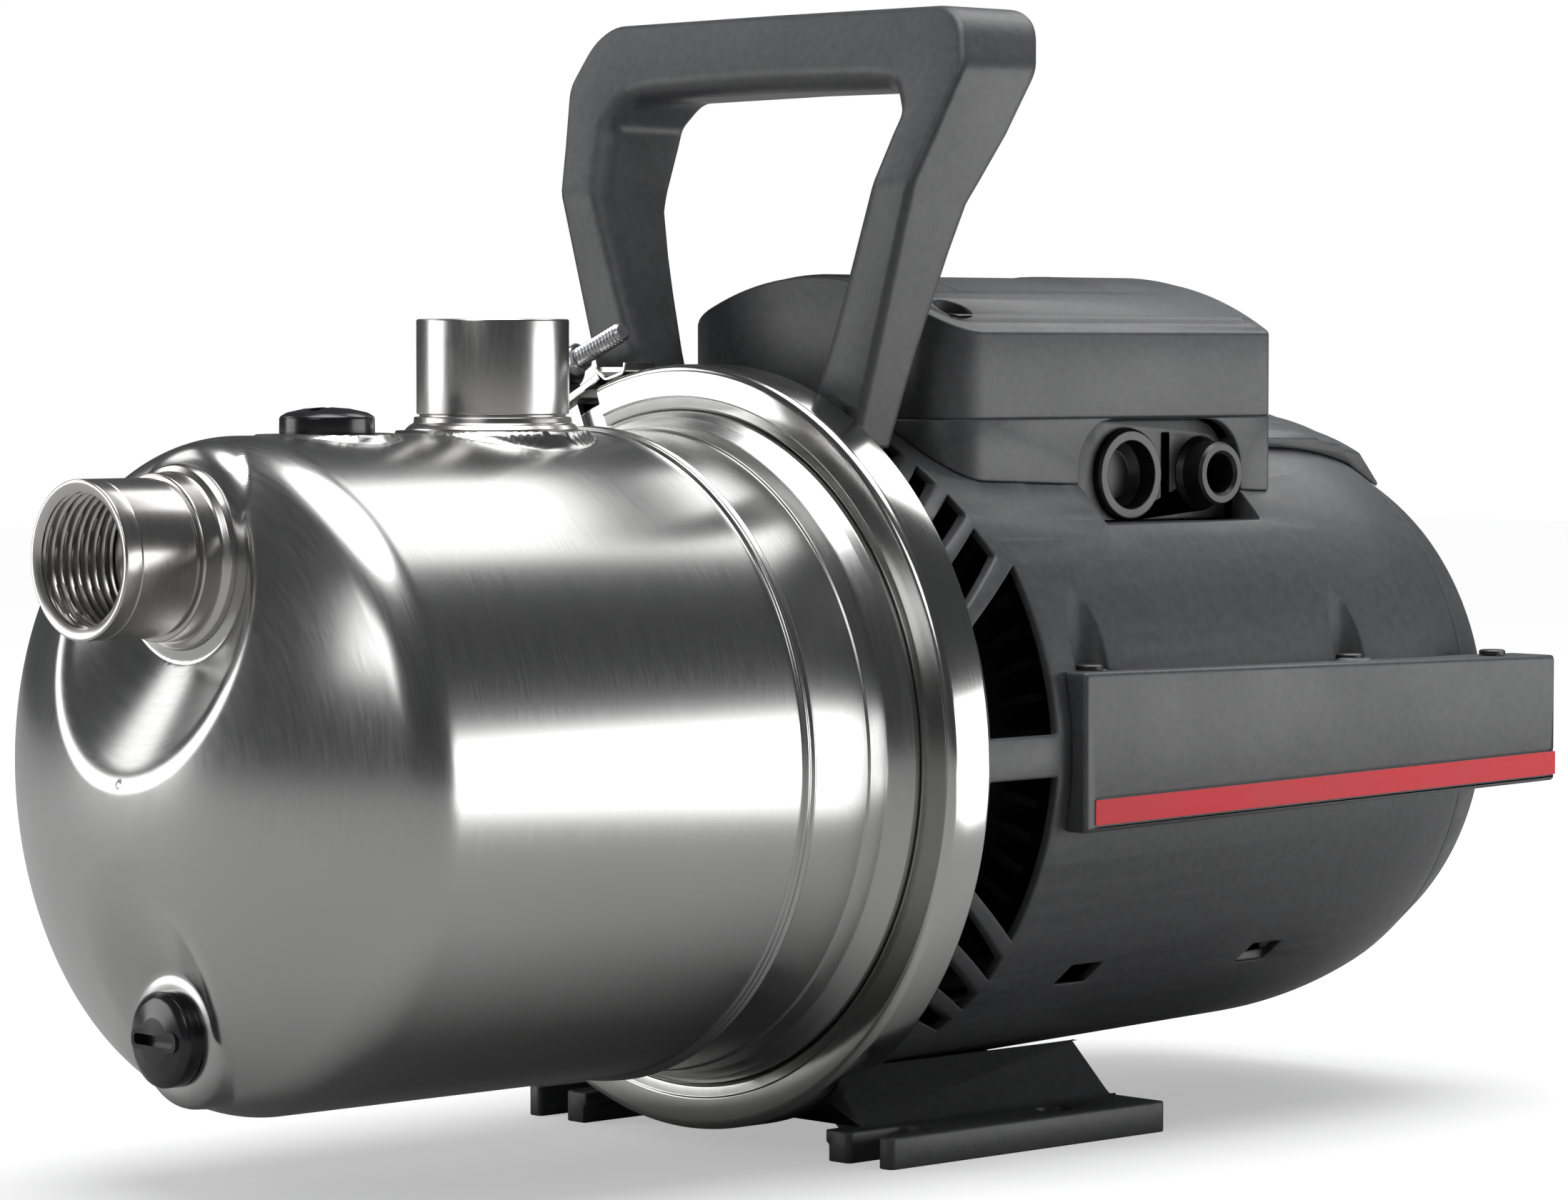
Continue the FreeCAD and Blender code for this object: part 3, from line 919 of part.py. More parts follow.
diffuser_form = turned("DiffuserForm", [
    ("-112", "19.6"), ("-112", "23"), ("-103.4", "23"), ("-103.4", "66"), ("-101", "70"),
    ("-74.5", "70"), ("-74.5", "66.5"), ("-101", "66.5"), ("-101", "19.6")])
guide = padded("GuideBlank", "YZ_Plane", [[("56.2", "0"), ("66.8", "3", "0 - 60"), ("66.6", "6"),
                                           ("57.2", "1.6")]], "16", ("-93.2", "0", "axis_z"))
fuse("diffuser", [diffuser_form, spread("Guides", guide, "vane_count")])
venturi = turned("VenturiForm", [
    ("-196", "8.5"), ("-188", "5.6"), ("-176", "5.6"), ("-104", "15"), ("-104", "19.4"), ("-112.2", "19.4"),
    ("-176", "9.6"), ("-186", "11"), ("-193", "17"), ("-214", "17"), ("-214", "8.1"), ("-210", "8.1"),
    ("-210", "14.5"), ("-196", "14.5")])
riser = rod("EjectorRiser", "12.6", "suction_z - axis_z - 12", ("-203", "0", "axis_z + 12"))
elbow = rod("EjectorElbow", "12.6", "27", ("-221", "0", "suction_z"), "X")
riser_way = rod("RiserWay", "10", "suction_z - axis_z", ("-203", "0", "axis_z"))
elbow_way = rod("ElbowWay", "10", "22", ("-224", "0", "suction_z"), "X")
chamber_way = rod("ChamberWay", "14.4", "13.9", ("-209.95", "0", "axis_z"), "X")
venturi_solid = fuse("EjectorWhole", [venturi, riser, elbow])
cut("ejector_body", venturi_solid, [riser_way, elbow_way, chamber_way])
turned("ejector_nozzle", [
    ("-216", "7"), ("-216", "10"), ("-214.1", "10"), ("-214.1", "8"), ("-206", "8"), ("-194", "4.6"),
    ("-194", "3.2"), ("-207", "6.2")])

# ---------------------------------------------------------------- check and write

doc.recompute()
NODES = [
    "pump_sleeve", "suction_port", "discharge_port", "priming_plug", "drain_plug", "priming_oring",
    "drain_oring", "plug_bushes", "clamp_ring", "clamp_lugs", "clamp_bolt", "clamp_nut", "pump_cover",
    "housing_oring", "motor_bracket", "handle", "handle_screws", "foot", "foot_screws", "motor_shell",
    "fan_cowl", "rear_louvre", "side_bar", "accent_stripe", "bar_screws", "terminal_base",
    "terminal_lid", "lid_screws", "entry_panel", "spare_gland", "cable_grommet", "terminal_block",
    "capacitor", "capacitor_clips", "motor_frame", "stator_core", "windings", "end_shield", "tie_rods",
    "bearing_outer_rings", "bearing_inner_rings", "bearing_balls", "shaft", "rotor_core", "impeller",
    "impeller_nut", "seal_rotating", "seal_stationary", "seal_spring", "fan", "diffuser",
    "ejector_body", "ejector_nozzle",
]
failed = []
for item in doc.Objects:
    if "Invalid" in item.State or "Error" in item.State:
        failed.append(item.Label)
if failed:
    raise RuntimeError("failed objects: " + ", ".join(failed))
os.makedirs("parts", exist_ok=True)
for label in NODES:
    node = doc.getObjectsByLabel(label)[0]
    if node.Shape.isNull() or not node.Shape.isValid():
        raise RuntimeError("bad shape: " + label)
    node.Shape.exportStep("parts/%s.step" % label)
    span = node.Shape.BoundBox
    print("%-20s solids %2d volume %10.1f  X %7.1f %7.1f  Y %7.1f %7.1f  Z %7.1f %7.1f" % (
        label, len(node.Shape.Solids), node.Shape.Volume, span.XMin, span.XMax, span.YMin, span.YMax,
        span.ZMin, span.ZMax))
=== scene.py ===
import json
import math

import bmesh
import bpy
import numpy as np
from mathutils import Matrix, Vector


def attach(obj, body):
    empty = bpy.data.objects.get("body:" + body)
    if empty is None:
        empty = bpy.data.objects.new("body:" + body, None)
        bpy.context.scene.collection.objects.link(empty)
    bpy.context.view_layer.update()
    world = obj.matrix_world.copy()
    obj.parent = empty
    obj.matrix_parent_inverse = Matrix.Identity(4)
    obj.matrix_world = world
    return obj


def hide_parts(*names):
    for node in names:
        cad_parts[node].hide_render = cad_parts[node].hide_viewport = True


# Shallow well jet pump. Metres. X runs along the shaft from the suction end to the fan end, Z is up,
# and the origin is on the floor between the two rear foot holes. MM turns the drawing's millimetres
# into metres.

MM = 0.001
AXIS_Z = 97.5

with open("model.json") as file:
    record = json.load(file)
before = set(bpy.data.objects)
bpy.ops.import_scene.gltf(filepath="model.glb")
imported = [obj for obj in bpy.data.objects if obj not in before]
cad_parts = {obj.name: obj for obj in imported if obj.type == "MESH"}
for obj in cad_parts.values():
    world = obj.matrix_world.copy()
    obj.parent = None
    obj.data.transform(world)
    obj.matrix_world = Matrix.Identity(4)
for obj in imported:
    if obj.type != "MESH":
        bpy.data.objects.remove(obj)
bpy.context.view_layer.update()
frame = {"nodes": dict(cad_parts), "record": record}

scene = bpy.context.scene


# ---------------------------------------------------------------- materials

class Shader:
    """A node material with one Principled shader; helpers return sockets to link."""

    def __init__(self, name, color, metallic, roughness, **extra):
        self.material = bpy.data.materials.new(name)
        self.material.use_nodes = True
        self.tree = self.material.node_tree
        self.bsdf = self.tree.nodes["Principled BSDF"]
        self.set("Base Color", (*color, 1.0))
        self.set("Metallic", metallic)
        self.set("Roughness", roughness)
        for key, value in extra.items():
            self.set(key.replace("_", " "), value)
        self.color = color
        self.roughness = roughness
        self.height = None

    def set(self, socket, value):
        self.bsdf.inputs[socket].default_value = value

    def node(self, kind, **settings):
        made = self.tree.nodes.new(kind)
        for key, value in settings.items():
            if hasattr(made, key):
                setattr(made, key, value)
            else:
                made.inputs[key.replace("_", " ")].default_value = value
        return made

    def link(self, out, into):
        self.tree.links.new(out, into)

    def place(self, stretch=(1, 1, 1)):
        """Object coordinates, stretched along an axis for grain."""
        where = self.node("ShaderNodeTexCoord")
        mapping = self.node("ShaderNodeMapping")
        mapping.inputs["Scale"].default_value = stretch
        self.link(where.outputs["Object"], mapping.inputs["Vector"])
        return mapping.outputs["Vector"]

    def noise(self, scale, detail=3.0, stretch=(1, 1, 1), roughness=0.5):
        made = self.node("ShaderNodeTexNoise", Scale=scale, Detail=detail, Roughness=roughness)
        self.link(self.place(stretch), made.inputs["Vector"])
        return made.outputs["Fac"]

    def spread(self, fac, low, high, start=0.3, end=0.7):
        """Map a 0..1 pattern onto a number range."""
        made = self.node("ShaderNodeMapRange", From_Min=start, From_Max=end, To_Min=low, To_Max=high)
        self.link(fac, made.inputs["Value"])
        return made.outputs["Result"]

    def vary_roughness(self, fac, low, high):
        self.link(self.spread(fac, low, high), self.bsdf.inputs["Roughness"])

    def vary_color(self, fac, dark, light):
        made = self.node("ShaderNodeMix", data_type="RGBA")
        made.inputs["A"].default_value = (*dark, 1.0)
        made.inputs["B"].default_value = (*light, 1.0)
        self.link(self.spread(fac, 0.0, 1.0), made.inputs["Factor"])
        self.link(made.outputs["Result"], self.bsdf.inputs["Base Color"])

    def soft_edges(self, radius):
        """Rounds the look of every edge by a radius in metres."""
        made = self.node("ShaderNodeBevel", Radius=radius)
        made.samples = 6
        self.height = made.outputs["Normal"]
        self.link(self.height, self.bsdf.inputs["Normal"])

    def bump(self, fac, strength, distance):
        made = self.node("ShaderNodeBump", Strength=strength, Distance=distance)
        self.link(fac, made.inputs["Height"])
        if self.height:
            self.link(self.height, made.inputs["Normal"])
        self.height = made.outputs["Normal"]
        self.link(self.height, self.bsdf.inputs["Normal"])


def scaled(color, factor):
    return tuple(min(1.0, c * factor) for c in color)


def brushed_steel(name, color, roughness, grain, stretch):
    """Steel with fine streaks along the direction that the stretch leaves short."""
    made = Shader(name, color, 1.0, roughness)
    streaks = made.noise(grain, 4.0, stretch, 0.6)
    cloud = made.noise(12.0, 2.0)
    made.vary_color(cloud, scaled(color, 0.97), scaled(color, 1.03))
    made.vary_roughness(streaks, roughness * 0.9, roughness * 1.12)
    made.bump(streaks, 0.03, 0.00003)
    return made.material


def moulded_plastic(name, color, roughness, grain, depth, edge=0.0, peel=0.0, gloss=0.5):
    """Moulded plastic: fine grain, and where asked softened edges and a coarser orange peel."""
    made = Shader(name, color, 0.0, roughness, Specular_IOR_Level=gloss)
    cloud = made.noise(40.0, 3.0)
    made.vary_roughness(cloud, roughness * 0.92, roughness * 1.08)
    if edge:
        made.soft_edges(edge)
    if peel:
        blotches = made.noise(420.0, 2.0, roughness=0.45)
        made.vary_color(blotches, scaled(color, 0.86), scaled(color, 1.14))
        made.bump(blotches, peel, 0.0003)
    else:
        made.vary_color(cloud, scaled(color, 0.94), scaled(color, 1.07))
    made.bump(made.noise(grain, 2.0), depth, 0.0002)
    return made.material


def plain_metal(name, color, roughness, grain=900.0):
    made = Shader(name, color, 1.0, roughness)
    cloud = made.noise(grain, 3.0)
    made.vary_roughness(cloud, roughness * 0.8, roughness * 1.25)
    made.vary_color(made.noise(60.0, 2.0), scaled(color, 0.92), scaled(color, 1.05))
    made.bump(cloud, 0.05, 0.0001)
    return made.material


STEEL = (0.45, 0.45, 0.445)
MATERIALS = {
    "sleeve_steel": brushed_steel("SleeveSteel", STEEL, 0.24, 2400.0, (1, 0.05, 0.05)),
    "port_steel": brushed_steel("PortSteel", (0.52, 0.51, 0.50), 0.24, 2400.0, (1, 0.06, 0.06)),
    "ring_steel": brushed_steel("RingSteel", (0.50, 0.50, 0.49), 0.16, 2400.0, (1, 0.05, 0.05)),
    "zinc_screw": plain_metal("ZincScrew", (0.52, 0.52, 0.53), 0.32),
    "black_plug": moulded_plastic("BlackPlug", (0.012, 0.012, 0.014), 0.22, 900.0, 0.05),
    "charcoal_plastic": moulded_plastic("CharcoalPlastic", (0.054, 0.055, 0.058), 0.44, 1500.0, 0.14,
                                        edge=0.0007, peel=0.20),
    "black_plastic": moulded_plastic("BlackPlastic", (0.008, 0.008, 0.009), 0.32, 1500.0, 0.08,
                                     edge=0.0005),
    "soft_rubber": moulded_plastic("SoftRubber", (0.007, 0.007, 0.008), 0.36, 700.0, 0.06),
    "red_strip": moulded_plastic("RedStrip", (0.60, 0.010, 0.022), 0.42, 1200.0, 0.03, gloss=0.22),
    "cast_aluminium": plain_metal("CastAluminium", (0.50, 0.51, 0.52), 0.50, 500.0),
    "black_paint": moulded_plastic("BlackPaint", (0.020, 0.020, 0.021), 0.40, 1200.0, 0.06),
    "core_steel": plain_metal("CoreSteel", (0.22, 0.22, 0.23), 0.45, 700.0),
    "copper_wire": plain_metal("CopperWire", (0.62, 0.28, 0.14), 0.35, 800.0),
    "shaft_steel": plain_metal("ShaftSteel", (0.66, 0.66, 0.67), 0.22, 900.0),
    "bearing_steel": plain_metal("BearingSteel", (0.75, 0.75, 0.76), 0.10, 900.0),
    "hydraulic_plastic": moulded_plastic("HydraulicPlastic", (0.10, 0.10, 0.11), 0.45, 900.0, 0.12),
    "seal_ceramic": moulded_plastic("SealCeramic", (0.80, 0.77, 0.70), 0.20, 900.0, 0.02),
    "seal_carbon": moulded_plastic("SealCarbon", (0.03, 0.03, 0.032), 0.35, 900.0, 0.05),
    "terminal_plastic": moulded_plastic("TerminalPlastic", (0.70, 0.68, 0.62), 0.40, 900.0, 0.08),
    "fan_plastic": moulded_plastic("FanPlastic", (0.05, 0.05, 0.055), 0.45, 900.0, 0.10),
}

SLOTS = {part["node"]: part["material_slot"] for part in frame["record"]["subparts"]}
BODY_OF = {node: body for body, nodes in frame["record"]["behaviour"]["bodies"].items() for node in nodes}

for node, slot in SLOTS.items():
    finishes = frame["nodes"][node].data.materials
    finishes.clear()
    finishes.append(MATERIALS[slot])

# ---------------------------------------------------------------- mesh building blocks

def piece(name, verts, faces, slot, body, nodes=(), sharp=35):
    """Mesh object from millimetre points that rides on a body and may stand for CAD nodes."""
    mesh = bpy.data.meshes.new(name)
    mesh.from_pydata([tuple(float(c) * MM for c in v) for v in verts], [], faces)
    return finish_piece(name, mesh, slot, body, nodes, sharp)


def finish_piece(name, mesh, slot, body, nodes=(), sharp=35):
    form = bmesh.new()
    form.from_mesh(mesh)
    bmesh.ops.remove_doubles(form, verts=form.verts, dist=1e-7)
    bmesh.ops.recalc_face_normals(form, faces=form.faces)
    form.to_mesh(mesh)
    form.free()
    mesh.shade_smooth()
    mesh.set_sharp_from_angle(angle=math.radians(sharp))
    mesh.materials.clear()
    mesh.materials.append(MATERIALS[slot])
    made = bpy.data.objects.new(name, mesh)
    scene.collection.objects.link(made)
    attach(made, body)
    if nodes:
        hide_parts(*nodes)
    return made


def soften(points, closed=True, steps=5):
    """Outline with its corners rounded: a point is (u, v) or (u, v, radius)."""
    out = []
    count = len(points)
    for i, point in enumerate(points):
        here = np.array(point[:2], float)
        radius = point[2] if len(point) > 2 else 0
        if radius <= 0 or (not closed and i in (0, count - 1)):
            out.append(tuple(here))
            continue
        before = np.array(points[i - 1][:2], float) - here
        after = np.array(points[(i + 1) % count][:2], float) - here
        la, lb = np.linalg.norm(before), np.linalg.norm(after)
        ua, ub = before / la, after / lb
        half = math.acos(max(-1.0, min(1.0, float(ua @ ub)))) / 2
        back = min(radius / math.tan(half), 0.49 * la, 0.49 * lb)
        size = back * math.tan(half)
        middle = (ua + ub) / np.linalg.norm(ua + ub) * (size / math.sin(half)) + here
        start = here + ua * back - middle
        end = here + ub * back - middle
        sweep = math.atan2(start[0] * end[1] - start[1] * end[0], float(start @ end))
        for k in range(steps + 1):
            a = sweep * k / steps
            turned = np.array([start[0] * math.cos(a) - start[1] * math.sin(a),
                               start[0] * math.sin(a) + start[1] * math.cos(a)])
            out.append(tuple(middle + turned))
    return out


def grid_faces(rows, columns, wrap_rows, wrap_columns):
    faces = []
    for i in range(rows if wrap_rows else rows - 1):
        for j in range(columns if wrap_columns else columns - 1):
            a, b = i % rows, (i + 1) % rows
            c, d = j % columns, (j + 1) % columns
            faces.append((a * columns + c, a * columns + d, b * columns + d, b * columns + c))
    return faces


AXES = {"x": (Vector((1, 0, 0)), Vector((0, 1, 0)), Vector((0, 0, 1))),
        "z": (Vector((0, 0, 1)), Vector((1, 0, 0)), Vector((0, 1, 0))),
        "y": (Vector((0, 1, 0)), Vector((0, 0, 1)), Vector((1, 0, 0)))}


def turned_points(profile, at, axis, segments, start=0.0, sweep=360.0):
    """Points of an outline (along, radius) turned about an axis through a point."""
    along, out, up = AXES[axis]
    base = Vector(at)
    full = abs(sweep - 360.0) < 1e-6
    angles = [math.radians(start + sweep * k / segments) for k in range(segments if full else segments + 1)]
    verts = []
    for a in angles:
        way = out * math.cos(a) + up * math.sin(a)
        for u, r in profile:
            verts.append(base + along * u + way * r)
    return verts, len(angles), full


def turned(name, profile, at, axis, slot, body, nodes=(), segments=128, start=0.0, sweep=360.0, sharp=35):
    """Closed outline (along, radius) turned about an axis."""
    verts, rings, full = turned_points(profile, at, axis, segments, start, sweep)
    columns = len(profile)
    faces = grid_faces(rings, columns, full, True)
    if not full:
        faces.append(tuple(range(columns)))
        faces.append(tuple((rings - 1) * columns + k for k in reversed(range(columns))))
    return piece(name, verts, faces, slot, body, nodes, sharp)


def carve(target, cutters, operation="DIFFERENCE"):
    """Boolean the cutters out of a piece and drop them."""
    for cutter in cutters:
        step = target.modifiers.new("Carve", "BOOLEAN")
        step.operation = operation
        step.object = cutter
        step.solver = "EXACT"
    bake(target)
    for cutter in cutters:
        bpy.data.objects.remove(cutter)
    return target


def bake(target):
    bpy.context.view_layer.update()
    view = target.evaluated_get(bpy.context.evaluated_depsgraph_get())
    mesh = bpy.data.meshes.new_from_object(view)
    target.modifiers.clear()
    target.data = mesh
    return target


def cutter(verts, faces):
    mesh = bpy.data.meshes.new("Cutter")
    mesh.from_pydata([tuple(float(c) * MM for c in v) for v in verts], [], faces)
    form = bmesh.new()
    form.from_mesh(mesh)
    bmesh.ops.recalc_face_normals(form, faces=form.faces)
    form.to_mesh(mesh)
    form.free()
    made = bpy.data.objects.new("Cutter", mesh)
    scene.collection.objects.link(made)
    return made


def round_cutter(at, axis, radius, length, segments=96):
    profile = [(0, 0.001), (0, radius), (length, radius), (length, 0.001)]
    verts, rings, full = turned_points(profile, at, axis, segments)
    return cutter(verts, grid_faces(rings, len(profile), True, True))

# ---------------------------------------------------------------- pump sleeve

SLEEVE_R = 77.43
WALL = 2.0
CROWN_X = -242.5
CROWN_R = 122.2
KNUCKLE_R = 15.0
SUCTION_Z = 147.85
DRAIN_Z = 39.4
SUCTION_SEAT = -224.3
DRAIN_SEAT = -227.0
DISCHARGE_X = -132.6
PRIMING_X = -182.5


def soft_min(a, b, k):
    """Smooth smaller of two heights, blended over a width k."""
    h = np.clip(0.5 + 0.5 * (b - a) / k, 0, 1)
    return b * (1 - h) + a * h - k * h * (1 - h)


def soft_max(a, b, k):
    return -soft_min(-a, -b, k)


def dome_profile(step):
    """Crown arc and knuckle arc of the dome, from the apex to the straight wall, as (x, r)."""
    crown_c = CROWN_X + CROWN_R
    knuckle_c_r = SLEEVE_R - KNUCKLE_R
    reach = CROWN_R - KNUCKLE_R
    knuckle_c_x = crown_c - math.sqrt(reach ** 2 - knuckle_c_r ** 2)
    join = math.asin(knuckle_c_r / reach)
    points = [(crown_c - CROWN_R * math.cos(a), CROWN_R * math.sin(a))
              for a in np.arange(step / CROWN_R, join, step / CROWN_R)]
    points += [(knuckle_c_x - KNUCKLE_R * math.cos(a), knuckle_c_r + KNUCKLE_R * math.sin(a))
               for a in np.arange(join, math.pi / 2, step * 0.7 / KNUCKLE_R)]
    return points, knuckle_c_x


def boss_front(distance, seat, radius, corner):
    """Front of a round boss whose edge is rounded and whose side falls away."""
    inside = np.clip(distance - (radius - corner), 0, corner)
    rim = seat + corner - np.sqrt(np.maximum(corner ** 2 - inside ** 2, 0))
    return rim + np.maximum(distance - radius, 0) * 14


def pressed_front(x, y, z, depth):
    """Front surface of the dome with its scoops and bosses pressed in, offset inwards by depth."""
    to_suction = np.hypot(y, z - SUCTION_Z)
    to_drain = np.hypot(y, z - DRAIN_Z)
    suction_cone = SUCTION_SEAT - np.maximum(to_suction - 24.0, 0) * 0.72
    drain_cone = DRAIN_SEAT - np.maximum(to_drain - 14.5, 0) * 0.60
    x = soft_max(x, suction_cone + depth, 2.6)
    x = soft_max(x, drain_cone + depth, 2.2)
    x = soft_min(x, boss_front(to_suction, SUCTION_SEAT + depth, 26.0, 7.5), 3.0)
    return soft_min(x, boss_front(to_drain, DRAIN_SEAT + depth, 16.5, 5.0), 2.5)


def pad_top(x, y, at_x, radius, top, fall):
    distance = np.hypot(x - at_x, y)
    return top - np.maximum(distance - radius + 1.6, 0) * fall


def pressed_points(profile, segments, depth, pads):
    """Grid of the sleeve skin: rings of the profile with the pressed forms blended in."""
    angles = np.linspace(0, 2 * math.pi, segments, endpoint=False)
    x = np.repeat([p[0] for p in profile], segments).astype(float)
    r = np.repeat([p[1] for p in profile], segments).astype(float)
    a = np.tile(angles, len(profile))
    y = r * np.cos(a)
    z = AXIS_Z + r * np.sin(a)
    front = x < -200
    x = np.where(front, pressed_front(x, y, z, depth), x)
    if pads:
        up = (z > AXIS_Z + 40) & (x > -215) & (x < -104)
        lifted = soft_max(z, pad_top(x, y, DISCHARGE_X, 24.5, 175.4, 3.2), 1.2)
        lifted = soft_max(lifted, pad_top(x, y, PRIMING_X, 18.0, 175.0, 3.2), 1.0)
        z = np.where(up, lifted, z)
    return np.stack([x, y, z], 1)


def make_sleeve():
    segments = 640
    dome, knuckle_x = dome_profile(0.75)
    wall_xs = np.arange(knuckle_x + 0.75, -106.4, 0.85)
    wall = [(float(x), SLEEVE_R) for x in wall_xs]
    tail = soften([(-106.2, SLEEVE_R), (-105.2, SLEEVE_R, 0.8), (-104.7, 78.9, 0.6), (-103.4, 78.1, 0.5),
                   (-102.2, 79.0, 0.6), (-101.6, SLEEVE_R, 0.8), (-84.5, SLEEVE_R, 0.2),
                   (-84.1, 77.95, 0.2), (-79.0, 78.6, 4), (-75.2, 80.6, 2.5), (-73.4, 82.0, 1.2),
                   (-71.15, 82.3, 0.4), (-71.15, 89.5, 0.5), (-69.2, 89.5, 0.5), (-69.2, 80.4, 0.8),
                   (-74.5, 78.9, 2.5), (-80, 75.6, 4)], closed=False)
    outer = dome + wall + tail
    inner = [(x, SLEEVE_R - WALL) for x in np.arange(-84, knuckle_x + 1, -4.0)]
    shrink = (SLEEVE_R - WALL) / SLEEVE_R
    inner += [(x + WALL * (1 - r / SLEEVE_R), r * shrink) for x, r in reversed(dome[::2])]
    outer_points = pressed_points(outer, segments, 0.0, True)
    inner_points = pressed_points(inner, segments, WALL, False)
    rows = len(outer) + len(inner)
    verts = list(map(tuple, np.concatenate([outer_points, inner_points])))
    faces = grid_faces(rows, segments, False, True)
    tips = [(CROWN_X, 0, AXIS_Z), (CROWN_X + WALL, 0, AXIS_Z)]
    for tip, row in zip(tips, (0, rows - 1)):
        verts.append(tip)
        faces += [(len(verts) - 1, row * segments + j, row * segments + (j + 1) % segments)
                  for j in range(segments)]
    sleeve = piece("PumpSleeve", verts, faces, "sleeve_steel", "housing", ("pump_sleeve",), 60)
    carve(sleeve, [round_cutter((-232, 0, SUCTION_Z), "x", 17.05, 14),
                   round_cutter((-232, 0, DRAIN_Z), "x", 10.2, 12),
                   round_cutter((DISCHARGE_X, 0, 168), "z", 17.05, 14),
                   round_cutter((PRIMING_X, 0, 168), "z", 10.2, 14)])
    return sleeve


make_sleeve()

# ---------------------------------------------------------------- ports and plugs

PITCH = 2.309
THREAD_MINOR = 15.15
THREAD_DEPTH = 1.35


def thread_radius(along, angle, start, end):
    """Radius of the cut thread: rounded V turns that fade in and out at both ends."""
    phase = (along / PITCH - angle / (2 * math.pi)) % 1.0
    tooth = 1 - abs(2 * phase - 1)
    cut = THREAD_DEPTH * min(1.0, max(0.0, tooth * 1.35 - 0.18))
    fade = min(1.0, max(0.0, (along - start) / 1.6), max(0.0, (end - along) / 2.0))
    return THREAD_MINOR + cut * max(0.0, fade)


def threaded_port(name, node, at, axis, flip, shell, thread_from, thread_to, throat, segments=160):
    """Tube with a real helical thread inside; the shell outline runs from the mouth to the throat."""
    along, out, up = AXES[axis]
    base = Vector(at)
    steps = int((thread_to - thread_from) / 0.2)
    columns = len(shell) + steps + 1 + len(throat)
    verts = []
    for k in range(segments):
        a = 2 * math.pi * k / segments
        way = out * math.cos(a) + up * math.sin(a)
        line = [(u, r) for u, r in shell]
        line += [(u, r) for u, r in throat]
        for i in range(steps + 1):
            u = thread_to - (thread_to - thread_from) * i / steps
            line.append((u, thread_radius(u, a, thread_from, thread_to)))
        for u, r in line:
            verts.append(base + along * (u * flip) + way * r)
    return piece(name, verts, grid_faces(segments, columns, True, True), "port_steel", "housing",
                 (node,), 40)


# Distances run inwards from the mouth of the port.
suction_shell = soften([
    (0.0, 17.0), (0.0, 18.0, 0.5), (4.2, 18.0, 0.1), (4.4, 17.86, 0.1), (4.7, 18.0, 0.1),
    (19.3, 18.0, 0.3), (19.7, 17.3, 0.15), (20.4, 17.3, 0.15), (20.7, 19.0, 0.6), (25.6, 19.0, 1.2),
    (26.6, 20.6, 0.8), (28.45, 21.4, 0.6), (28.55, 17.0, 0), (33.6, 17.0, 0)], closed=False)
threaded_port("SuctionPort", "suction_port", (-252.9, 0, SUCTION_Z), "x", 1, suction_shell, 1.0, 21.6,
              [(33.6, 13.6), (23.2, 13.6), (22.3, 14.6)])
discharge_shell = soften([
    (0.0, 17.0), (0.0, 18.0, 0.5), (22.3, 18.0, 0.3), (22.5, 17.3, 0.1), (22.9, 17.3, 0.1),
    (23.0, 18.6, 0.3), (24.4, 18.7, 0.4), (24.9, 19.6, 0.4), (25.7, 20.5, 0.3), (26.15, 20.8, 0.2),
    (26.2, 17.0, 0), (32.0, 17.0, 0)], closed=False)
threaded_port("DischargePort", "discharge_port", (DISCHARGE_X, 0, 201.6), "z", -1, discharge_shell, 1.0, 19.8,
              [(32.0, 13.6), (21.4, 13.6), (20.6, 14.6)])


def slotted_plug(name, node, at, axis, flip, slot_turn, framed):
    """Plug with a domed head, a finger-friendly rim, a coin slot and a plain shank."""
    profile = soften([
        (12.0, 0.001), (12.0, 7.2, 0.3), (11.2, 7.95, 0.2), (-1.9, 7.95), (-1.9, 10.3), (-0.15, 10.3),
        (-0.15, 11.0, 0.2), (-4.0, 10.95, 0.9), (-5.0, 9.3, 3.0), (-5.9, 5.2, 4.0), (-6.3, 0.001)])
    head = turned(name, [(u * flip, r) for u, r in profile], at, axis, "black_plug",
                  node, (node,), 96)
    along, out, up = AXES[axis]
    side = out * math.cos(slot_turn) + up * math.sin(slot_turn)
    across = along.cross(side)
    top = Vector(at) - along * flip * 4.1

    def bar(half_long, half_wide, low, high):
        return [top - along * flip * level + side * u + across * v
                for level in (low, high)
                for u, v in rounded_slot(half_long, half_wide)]

    count = len(rounded_slot(1, 1))
    ring = [(k, (k + 1) % count, count + (k + 1) % count, count + k) for k in range(count)]
    ends = [tuple(reversed(range(count))), tuple(range(count, 2 * count))]
    if framed:
        frame_bar = cutter(bar(8.2, 2.3, -0.6, 1.9), ring + ends)
        carve(head, [frame_bar], "UNION")
    carve(head, [cutter(bar(7.2, 1.25, -0.9, 4.0), ring + ends)])
    return head


def rounded_slot(half_long, half_wide, steps=8):
    radius = half_wide * 0.8
    corners = [(half_long, -half_wide, radius), (half_long, half_wide, radius),
               (-half_long, half_wide, radius), (-half_long, -half_wide, radius)]
    return soften(corners, True, steps)


slotted_plug("PrimingPlug", "priming_plug", (PRIMING_X, 0, 175.0), "z", -1, math.radians(24), False)
slotted_plug("DrainPlug", "drain_plug", (DRAIN_SEAT, 0, DRAIN_Z), "x", 1, 0.0, True)


# ---------------------------------------------------------------- clamp ring and its bolt

